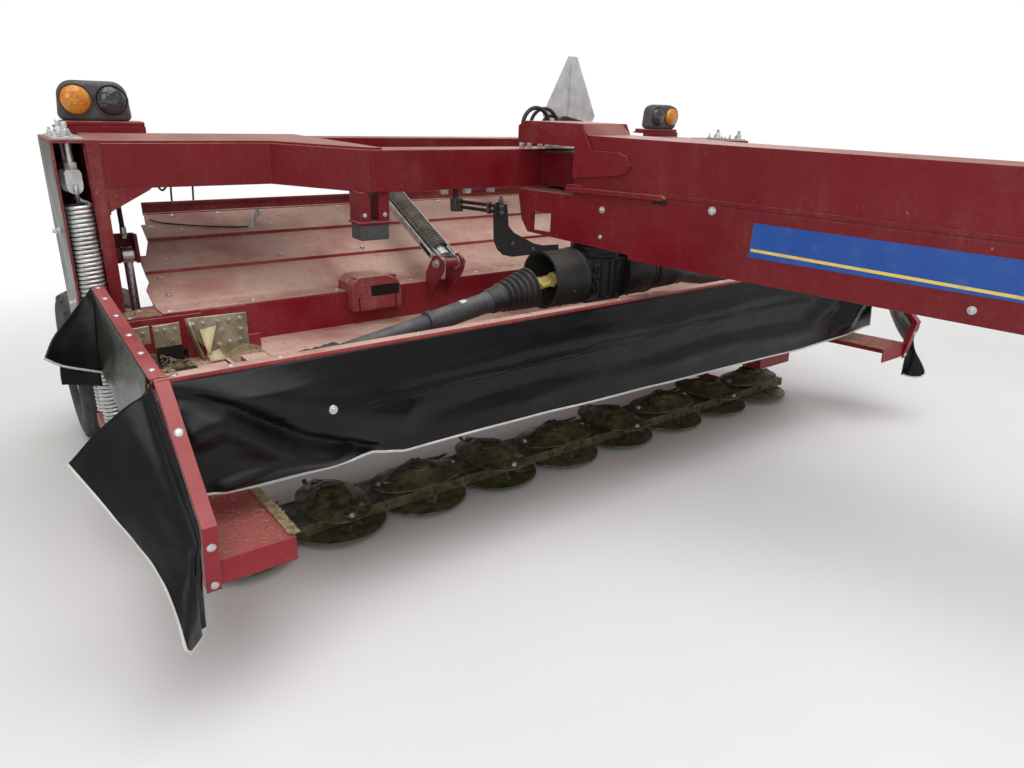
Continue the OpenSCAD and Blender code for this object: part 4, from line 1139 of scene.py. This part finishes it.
# Gearbox under the pivot
def gearbox_details():
    def at(x, y, z):
        """A place from the middle of the bells."""
        return x, PIVOT_Y + y, BELL_Z + z

    cast = Shape(PITCHED)
    bolts = Shape(PITCHED)
    rims = Shape(PITCHED)
    slot_shade = Shape(PITCHED)
    for k in range(16):
        a = math.tau * k / 16
        c, q = math.cos(a), math.sin(a)
        if abs(c) <= 0.85:
            corners = ((100, 5), (114, 4), (114, -4), (100, -5))
            rib = [(r * c - w * q, PIVOT_Y + r * q + w * c) for r, w in corners]
            cast.prism(rib, 884, 1040, "z")
    for z, r in ((78, 112), (94, 108)):
        cast.lathe([(98, -6), (r, -5), (r, 5), (98, 6)], at(0, 0, z), (0, 0, 1), 40)
    for s in (-1, 1):
        way = (s, 0, 0)
        cast.lathe([(40, 0), (92, 0), (92, 10), (84, 14), (44, 16)], at(s * 114, 0, 0), way, 36)
        cast.lathe([(64, 0), (72, 4), (72, 14), (52, 26), (40, 26)], at(s * 104, 0, 0), way, 32)
        for z in (-53, -9, 35):
            cast.rod(at(s * 60, -80, z), at(s * 60, -92, z), 15, 12)
        rims.lathe([(110, 276), (119.5, 278), (120.5, 286), (119.5, 293), (111, 294)], at(0, 0, 0), way, 60)
        rims.lathe([(119, 114), (121, 118), (121, 132), (118, 136)], at(0, 0, 0), way, 60)
        # Painted shade: short dark rods on the bell rims stand for the shade inside their slots
        for k in range(4):
            a = 1.25 + 0.28 * k
            y, z = -118.4 * math.cos(a), 118.4 * math.sin(a)
            slot_shade.rod(at(s * 266, y, z), at(s * 288, y, z), 3.2, 8)
    cast.lathe([(0, 0), (66, 0), (66, 8), (58, 12), (30, 12), (28, 20), (0, 20)], at(0, -77, -14),
               (0, -1, 0), 28)
    cast.rod(at(-100, -72, 62), at(96, -88, 72), 6, 8)
    cast.rod(at(-92, -84, 84), at(60, -96, 78), 5, 8)
    for k in range(10):
        a = math.tau * (k + 0.35) / 10
        bolts.bolt((116 * math.cos(a), PIVOT_Y + 116 * math.sin(a), 884), (0, 0, 1), 9.5, stud=3)
    for k in range(6):
        a = math.tau * k / 6
        bolts.bolt(at(54 * math.cos(a), -89, -14 + 54 * math.sin(a)), (0, -1, 0), 7.5, washer=False)
    for s in (-1, 1):
        for k in range(8):
            a = math.tau * (k + 0.5) / 8
            bolts.bolt(at(s * 124, 80 * math.cos(a), 80 * math.sin(a)), (s, 0, 0), 8, washer=False)
        for k in range(6):
            a = math.tau * k / 6 + 0.3
            c, q = math.cos(a), math.sin(a)
            bolts.bolt(at(s * 200, 118 * c, 118 * q), (0, c, q), 7)
    for x in (-99, 17):
        bolts.bolt((x, PIVOT_Y - 124, 872), (0, -1, 0.1), 12, stud=4)
    bolts.lathe([(0, 0), (8, 0), (8, 8), (4, 10), (4, 18), (0, 18)], at(40, -92, 84), (0, -0.4, 1), 6)
    cast.make("gearbox_ribs", "trail_frame", CAST, slot="dark", bevel=2)
    bolts.make("gearbox_bolts", "trail_frame", DARK_STEEL, slot="steel")
    rims.make("bell_rims", "trail_frame", BELL, slot="black")
    slot_shade.make("bell_slot_shade", "trail_frame", PAINTED_SHADE, slot="dark")


def torque_arm_bolts():
    """Bolts, turnbuckle nuts and the pad where the arm beside the gearbox meets the beam."""
    arm = Shape()
    front = (0, -1, 0)
    for z in (1234, 1256):
        arm.bolt((-497, -257, z), front, 11, stud=5)
        for t in (0.2, 0.86):
            place = Vector((-497, -244.6, z)).lerp(Vector((-520, 32, z + 8)), t)
            arm.lathe([(0, 0), (13, 0), (13, 12), (0, 12)], place, (-23, 276.6, 8), 6)
    arm.bolt((-489, -244.6, 1270), (0, 0, 1), 17, stud=10)
    arm.box((-538, 6, 1222), (-502, 46, 1276))
    arm.bolt((-520, 2, 1248), front, 13, stud=8)
    arm.bolt((-440, -253, 1110), front, 10)
    arm.bolt((-340, -253, 1080), front, 10)
    arm.make("torque_arm_bolts", "trail_frame", DARK_STEEL, slot="steel", bevel=0.8)


def top_link_coil():
    """The top link's spring, its bowed straps with their slots, and the heads of its pins."""
    across = Vector((1, 0, 0))
    way = Vector((0, TOP_PIN[0] - TOP_HEAD[0], TOP_PIN[1] - TOP_HEAD[1]))
    reach = way.length
    way.normalize()
    up = way.cross(across)
    start = Vector((TOP_LINK_X, *TOP_HEAD))
    turns, steps = 33, 14
    path = []
    for i in range(turns * steps + 1):
        t = 0.125 + 0.80 * i / (turns * steps)
        a = math.tau * i / steps
        path.append(start + way * reach * t + (across * math.cos(a) + up * math.sin(a)) * 43)
    spring = Shape()
    spring.tube(path, 7.4, 7)
    spring.make("top_link_spring", "upper_link", COIL_BROWN, slot="steel")
    bars = Shape()
    slot_shade = Shape()
    straps = Shape()
    for s in (-1, 1):
        rows = []
        for k in range(41):
            t = k / 40
            bow = max(0.0, min(1.0, min(t, 1 - t) / 0.075 - 0.2))
            off = 38 + 19 * bow * bow * (3 - 2 * bow)
            rows.append([start + way * reach * t + across * s * off + up * w for w in (-17, 0, 17)])
        straps.grid(rows)
        for at, sides in ((0.0, 20), (reach, 6)):
            bars.lathe([(0, 0), (21, 0), (21, 5), (15, 8), (15, 17), (0, 17)],
                       start + way * at + across * s * 62, across * s, sides)
        oval = []
        for k in range(24):
            a = math.tau * k / 24
            along_bar = 96 + (62 if math.cos(a) > 0 else -22) + 12 * math.cos(a)
            oval.append(start + way * along_bar + up * 12 * math.sin(a) + across * s * 60.5)
        bars.tube(oval, 2.4, 6, closed=True)
        # Painted shade: a dark face inside each oval rim stands for the shade in the strap's slot
        slot_shade.faces([p + across * s * 0.5 for p in oval], [range(24)])
    straps.make("top_link_straps", "upper_link", ZINC, slot="steel", solid=6, outward=False, bevel=1)
    bars.make("top_link_ends", "upper_link", ZINC, slot="steel", bevel=0.5)
    slot_shade.make("top_link_slot_shade", "upper_link", PAINTED_SHADE, slot="dark", outward=False)


# Deck
# the deck's height at places back along the machine, and the way its sloping panels face
DECK_LINE = [(335, 888), (470, 888), (700, 990), (712, 1000), (880, 1100), (892, 1112), (1050, 1195),
             (1085, 1195)]
DECK_UP = (0, -0.46, 0.89)


def between(points, at):
    """The value at a place on a line through points."""
    for (a, u), (b, v) in zip(points, points[1:]):
        if at <= b:
            return u + (v - u) * (at - a) / (b - a)
    return points[-1][1]


def deck_details():
    lips = Shape()
    for y, w in ((686, 1606), (872, 1544)):
        z = between(DECK_LINE, y)
        back = between(DECK_LINE, y + 105)
        lips.prism([(y, z - 4), (y, z + 14), (y + 8, z + 18), (y + 105, back + 2), (y + 105, back - 2),
                    (y + 20, z)], -w, w)
    for outline, w in (([(464, 887), (470, 893), (492, 903), (494, 898)], 1628),
                       ([(1048, 1193), (1050, 1199), (1080, 1200), (1080, 1194)], 1508),
                       ([(1076, 1236), (1076, 1246), (1094, 1246), (1094, 1236)], 1509)):
        lips.prism(outline, -w, w)
    lips.make("deck_lips", "header", RED_DUSTY, slot="red", bevel=1.2)
    heads = Shape()
    for k in range(15):
        heads.dome((-1400 + 200 * k, 1036, 1188), DECK_UP, 10, 0.5)
    for k in range(8):
        for x, y in ((-1390, 930), (-1356, 908)):
            heads.dome((x + 400 * k, y, between(DECK_LINE, y)), DECK_UP, 9, 0.6, 12)
        heads.dome((-1432 + 400 * k, 712, between(DECK_LINE, 712) + 19), (0, -0.3, 0.95), 11, 0.55)
        heads.dome((-1276 + 364 * k, 398, 888), (0, 0, 1), 12, 0.5)
    for s in (-1, 1):
        for x, y, z in ((1742, 352, 882), (1742, 398, 882), (1690, 470, 882), (1600, 372, 888),
                        (1560, 540, 919), (1560, 660, 972)):
            heads.dome((s * x, y, z), (0, 0, 1), 13, 0.5)
        for y in (760, 960):
            heads.dome((s * 1508, y, between(DECK_LINE, y)), DECK_UP, 12, 0.5)
    heads.make("deck_bolts", "header", ZINC, slot="steel")
    latch = Shape()
    latch.box((-1106, 898, 1116), (-1064, 930, 1124))
    handle = smooth([(-1085, 914, 1122), (-1078, 914, 1150), (-1062, 918, 1174), (-1052, 922, 1194)])
    latch.tube(handle, 8, 10)
    latch.lathe([(0, -4), (13, 0), (14, 20), (10, 30), (0, 32)], (-1056, 921, 1174), (0.3, 0.1, 1), 14)
    latch.bolt((-1096, 914, 1124), (0, 0, 1), 9)
    latch.make("deck_latch", "header", ZINC, slot="steel")
    latch_rod = Shape()
    latch_rod.tube(smooth([(-1500, 1000, 1176), (-1455, 975, 1162), (-1300, 930, 1142), (-1165, 910, 1131),
                           (-1106, 908, 1129)]), 3, 7)
    latch_rod.make("deck_latch_rod", "header", BLACK_PAINT, slot="black")
    hoods = Shape()
    hole_shade = Shape()
    arch = [(886, 922), (858, 950), (725, 950), (674, 926)]
    opening = [(806, 862), (806, 908), (672, 908), (672, 862)]
    slits = [[(x - 3, 804), (x - 3, 862), (x + 3, 862), (x + 3, 804)] for x in (864, 690)]
    for s in (-1, 1):
        for outline, front, back in (([(895, 802), (895, 890), *arch, (657, 890), (657, 802)], 279, 336),
                                     ([(893, 880), *arch, (659, 880)], 335, 436)):
            hoods.prism([(s * x, z) for x, z in outline], front, back, "y")
        # Painted shade: dark sheets on the hood's front stand for the shade inside its opening and two slits
        hole_shade.prism([(s * x, z) for x, z in opening], 277.6, 278.6, "y")
        for outline in slits:
            hole_shade.prism([(s * x, z) for x, z in outline], 277.9, 278.7, "y")
    hoods.make("deck_hoods", "header", RED_DUSTY, slot="red", bevel=7)
    hole_shade.make("deck_hood_opening_shade", "header", PAINTED_SHADE, slot="dark")


# Brackets over the end boxes
# bolts by the face they stand on and their size, each with its place across and up
BRACKET_BOLTS = [
    (174, 12, [(1400, 868), (1440, 868), (1480, 868), (1532, 868), (1568, 868), (1400, 828), (1406, 790),
               (1446, 786), (1486, 780), (1470, 832)]),
    (172, 11, [(1630, 862), (1664, 864), (1690, 862), (1640, 822), (1734, 860), (1768, 858), (1750, 836)])]
BRACKET_EDGE = [(1588, 890), (1586, 866), (1580, 836), (1570, 800), (1560, 768), (1554, 744)]
GUSSETS = [
    [[(1548, 171, 846), (1488, 171, 852)], [(1546, 140, 806), (1512, 140, 812)],
     [(1544, 104, 768), (1536, 104, 770)]],
    [[(1546, 118, 768), (1500, 118, 776)], [(1546, 70, 748), (1496, 70, 750)]]]
BRACKET_PLATES = [
    (174, [(1374, 742), (1374, 888), (1584, 892), (1578, 850), (1556, 800), (1500, 742)]),
    (172, [(1612, 800), (1612, 884), (1700, 880), (1700, 800)]),
    (172, [(1712, 820), (1712, 884), (1790, 880), (1790, 820)])]


def end_brackets():
    plates = Shape()
    bolts = Shape()
    arcs = Shape()
    gussets = Shape()
    closers = Shape()
    dark = Shape()
    for s in (-1, 1):
        for front, outline in BRACKET_PLATES:
            plates.prism([(s * x, z) for x, z in outline], front, 184, "y")
        for front, size, places in BRACKET_BOLTS:
            for x, z in places:
                bolts.bolt((s * x, front, z), (0, -1, 0), size, stud=3)
        arcs.grid([[(s * x, y, z) for y in (182, 166, 140, 118)] for x, z in BRACKET_EDGE])
        for rows in GUSSETS:
            gussets.grid([[(s * x, y, z) for x, y, z in row] for row in rows])
        closers.slab(s, (1326, 1500), (330, 336), (FLOOR_TOP, 884))
        closers.slab(s, (1500, 1776), (322, 330), (744, 876))
        closers.slab(s, (1330, 1374), (176, 182), (FLOOR_TOP, 800))
        # Painted shade: dark boxes under the brackets stand for the shade inside the end box's opening
        dark.slab(s, (1600, 1700), (40, 171), (FLOOR_TOP, 744))
        dark.slab(s, (1612, 1700), (168, 171), (744, 800))
    plates.make("end_bracket_plates", "header", BRACKET, slot="steel", bevel=2)
    bolts.make("end_bracket_bolts", "header", GALVANISED, slot="steel")
    arcs.make("end_bracket_flanges", "header", BRACKET, slot="steel", solid=7, outward=False)
    gussets.make("end_bracket_gussets", "header", CREAM, slot="rim", solid=5, outward=False)
    closers.make("deck_front_closers", "header", RED_PINK, slot="red", bevel=1.5)
    dark.make("end_bracket_opening_shade", "header", PAINTED_SHADE, slot="dark")


def strips_and_rivets():
    heads = Shape()
    lines = Shape()
    for s in (-1, 1):
        heads.dome((s * 1818, -642, 769), (0, -0.70, 0.71), 14, 0.5, 20)
        for y, z in ((-823, 514), (-793, 388)):
            heads.dome((s * 1818, y, z), (0, -0.973, -0.233), 13, 0.5, 20)
        for y in (-460, -330, -176, 10, 194, 320):
            heads.dome((s * 1828, y, 890 + (y + 515) * 0.144), (0, -0.14, 0.99), 10, 0.45)
        for x in (87, 553, 1019, 1485, 1630, 1781):
            heads.dome((s * x, -500, RAIL_Z), (0, 0, 1), 10, 0.4)
        lines.slab(s, (1498, 1790), (212, 300), (700, 708))
        # ledge lip at the machine's front corners
        lines.slab(s, (1588, 1594), (-780, -124), (430, 452))
        # flat strips that clamp the curtains along the front and the top of the end frame
        lines.prism([(-517, 887), (-578, 833), (-839, 577), (-789, 368), (-784, 369), (-833, 576),
                     (-574, 828), (-514, 882)], *span(s, 1799, 1838))
        lines.prism([(-516, 885), (-516, 890), (346, 1014), (346, 1009)], *span(s, 1808, 1848))
    heads.make("rail_bolts", "header", ZINC, slot="steel")
    lines.make("end_edges", "header", STRIP_RED, slot="red", bevel=1.5)
    bar = Shape()
    for x in range(-1755, 1756, 195):
        bar.bolt((x, -91, 62), (0, -1, 0), 11)
    for x in range(-1700, 1701, 170):
        bar.bolt((x, 118, 85), (0, 0, 1), 12)
    bar.make("cutterbar_bolts", "header", DARK_STEEL, slot="steel")


# Straw
def scatter(shape, count, low, high, height, length):
    """Loose straws between two corners of a surface; height gives its z over x and y."""
    for _ in range(count):
        x = random.uniform(low[0], high[0])
        y = random.uniform(low[1], high[1])
        a = random.uniform(0, math.tau)
        half = random.uniform(*length) / 2
        lift = random.uniform(0.8, 3.5)
        points = []
        for t in (-1, 0, 1):
            px = x + t * half * math.cos(a)
            py = y + t * half * math.sin(a)
            if low[0] <= px <= high[0] and low[1] <= py <= high[1]:
                bow = (1 - abs(t)) * random.uniform(-0.5, 2.5)
                points.append((px, py, height(px, py) + lift + bow))
        if len(points) > 1:
            shape.tube(points, random.uniform(0.45, 0.95), 3)


def straw_debris():
    shape = Shape()

    def deck(x, y):
        return between(DECK_LINE, y)

    def flat(z):
        return lambda x, y: z

    def heap(z, x0, y0, rise, radius):
        return lambda x, y: z + rise * max(0.0, 1 - math.hypot(x - x0, y - y0) / radius)

    for s in (-1, 1):
        # straws, places across and back, height, and shortest and longest straw
        patches = [(420, (1340, 1480), (20, 176), heap(FLOOR_TOP, s * 1395, 150, 30, 80), (10, 38)),
                   (300, (1520, 1700), (60, 172), heap(744, s * 1690, 165, 34, 60), (8, 26)),
                   (260, (1600, 1790), (192, 320), flat(744), (10, 38)),
                   (260, (1640, 1770), (336, 420), heap(883, s * 1720, 400, 12, 60), (10, 38)),
                   # chopped hay along the ledge's inner edge, and thinner over the ledge
                   (1300, (1572, 1606), (-782, -300), heap(LEDGE_TOP + 2, s * 1590, -600, 7, 300), (8, 26)),
                   (900, (1606, 1820), (-780, -300), flat(LEDGE_TOP), (4, 13)),
                   (60, (655, 900), (262, 279), flat(FLOOR_TOP), (14, 40)),
                   (60, (1770, 1826), (-525, -440), flat(887), (20, 60))]
        for count, across, back, height, length in patches:
            x0, x1 = span(s, *across)
            scatter(shape, count, (x0, back[0]), (x1, back[1]), height, length)
    for count, half, back in ((240, 1500, (345, 470)), (200, 1490, (640, 720)), (160, 1480, (850, 1070))):
        scatter(shape, count, (-half, back[0]), (half, back[1]), deck, (10, 38))
    scatter(shape, 160, (-1450, -15), (1450, 330), flat(FLOOR_TOP), (14, 50))
    shape.make("loose_straw", "header", STRAW, slot="rim", outward=False)


# Camera, lamps and floor
FLOOR_FADE = (3.5, 9.0)
CAMERA_AT = (-2170.2, -2575.7, 1471.4)
CAMERA_YAW = 36.567
CAMERA_DOWN = 18.041
CAMERA_ROLL = -0.3015
CAMERA_LENS = 25.54


def camera():
    data = bpy.data.cameras.new("camera")
    data.lens = CAMERA_LENS
    data.sensor_width = 36
    data.clip_end = 200
    view = show("camera", data)
    turn = (Matrix.Rotation(math.radians(-CAMERA_YAW), 4, "Z")
            @ Matrix.Rotation(math.radians(90 - CAMERA_DOWN), 4, "X")
            @ Matrix.Rotation(math.radians(CAMERA_ROLL), 4, "Z"))
    view.matrix_world = Matrix.Translation(MACHINE @ Vector(CAMERA_AT)) @ turn
    bpy.context.scene.camera = view


def area_lamp(name, at, toward, size, power):
    """A soft square lamp that looks toward a place."""
    data = bpy.data.lights.new(name, "AREA")
    data.shape = "SQUARE"
    data.size = size
    data.energy = power
    lamp = show(name, data)
    lamp.location = at
    lamp.rotation_euler = (Vector(toward) - Vector(at)).to_track_quat("-Z", "Y").to_euler()


def studio():
    area_lamp("sky_panel", (-1.0, -1.0, 7.5), (0, 0, 0.5), 7.0, 400)
    area_lamp("front_panel", (-6.0, -6.5, 4.5), (0, -0.5, 0.7), 5.0, 150)
    area_lamp("back_panel", (5.5, 6.0, 4.5), (0, 0.5, 0.8), 5.0, 100)
    world = bpy.data.worlds.new("studio")
    world.use_nodes = True
    tree = world.node_tree
    background = tree.nodes["Background"]
    path = tree.nodes.new("ShaderNodeLightPath")
    seen = tree.nodes.new("ShaderNodeMath")
    seen.operation = "MAXIMUM"
    tree.links.new(path.outputs["Is Camera Ray"], seen.inputs[0])
    tree.links.new(path.outputs["Is Transmission Ray"], seen.inputs[1])
    strength = tree.nodes.new("ShaderNodeMapRange")
    strength.inputs["To Min"].default_value = 0.50
    strength.inputs["To Max"].default_value = 1.0
    tree.links.new(seen.outputs[0], strength.inputs["Value"])
    tree.links.new(strength.outputs[0], background.inputs["Strength"])
    background.inputs["Color"].default_value = (1, 1, 1, 1)
    bpy.context.scene.world = world
    floor = bpy.data.meshes.new("floor")
    floor.from_pydata([(-60, -60, 0), (60, -60, 0), (60, 60, 0), (-60, 60, 0)], [], [(0, 1, 2, 3)])
    s = Surface("studio_floor", roughness=0.9)
    s.shader.inputs["Specular IOR Level"].default_value = 0.1
    pale = s.finish(s.mix(s.noise(0.6), (0.80, 0.80, 0.79), (0.83, 0.83, 0.82)))
    # far from the machine the floor turns into the backdrop's white
    reach = s.add("ShaderNodeVectorMath", {0: s.where}, operation="LENGTH")
    far = s.spread(reach.outputs["Value"], *FLOOR_FADE)
    rays = s.add("ShaderNodeLightPath")
    shown = s.either(s.either(rays.outputs["Is Camera Ray"], rays.outputs["Is Glossy Ray"]),
                     rays.outputs["Is Transmission Ray"])
    white = s.add("ShaderNodeEmission")
    blend = s.add("ShaderNodeMixShader", {0: s.both(far, shown), 1: s.shader.outputs[0], 2: white.outputs[0]})
    s.put(s.tree.nodes["Material Output"].inputs["Surface"], blend.outputs[0])
    floor.materials.append(pale)
    ground = show("floor", floor)


# Bolts and straw share one series of random numbers, so their order here matters
camera()
studio()
dress_solids()
hoses()
front_curtain()
side_sheets()
float_springs()
spring_hangers()
for side_name, side_sign in SIDES.items():
    tyre(side_name, side_sign)
    driveline(side_name, side_sign)
for number in range(1, DISC_COUNT + 1):
    disc(number)
lamps()
tongue_stripe()
tongue_skins()
beam_details()
tongue_details()
gearbox_details()
torque_arm_bolts()
top_link_coil()
deck_details()
end_brackets()
strips_and_rivets()
straw_debris()

bpy.context.scene.view_settings.view_transform = "Standard"
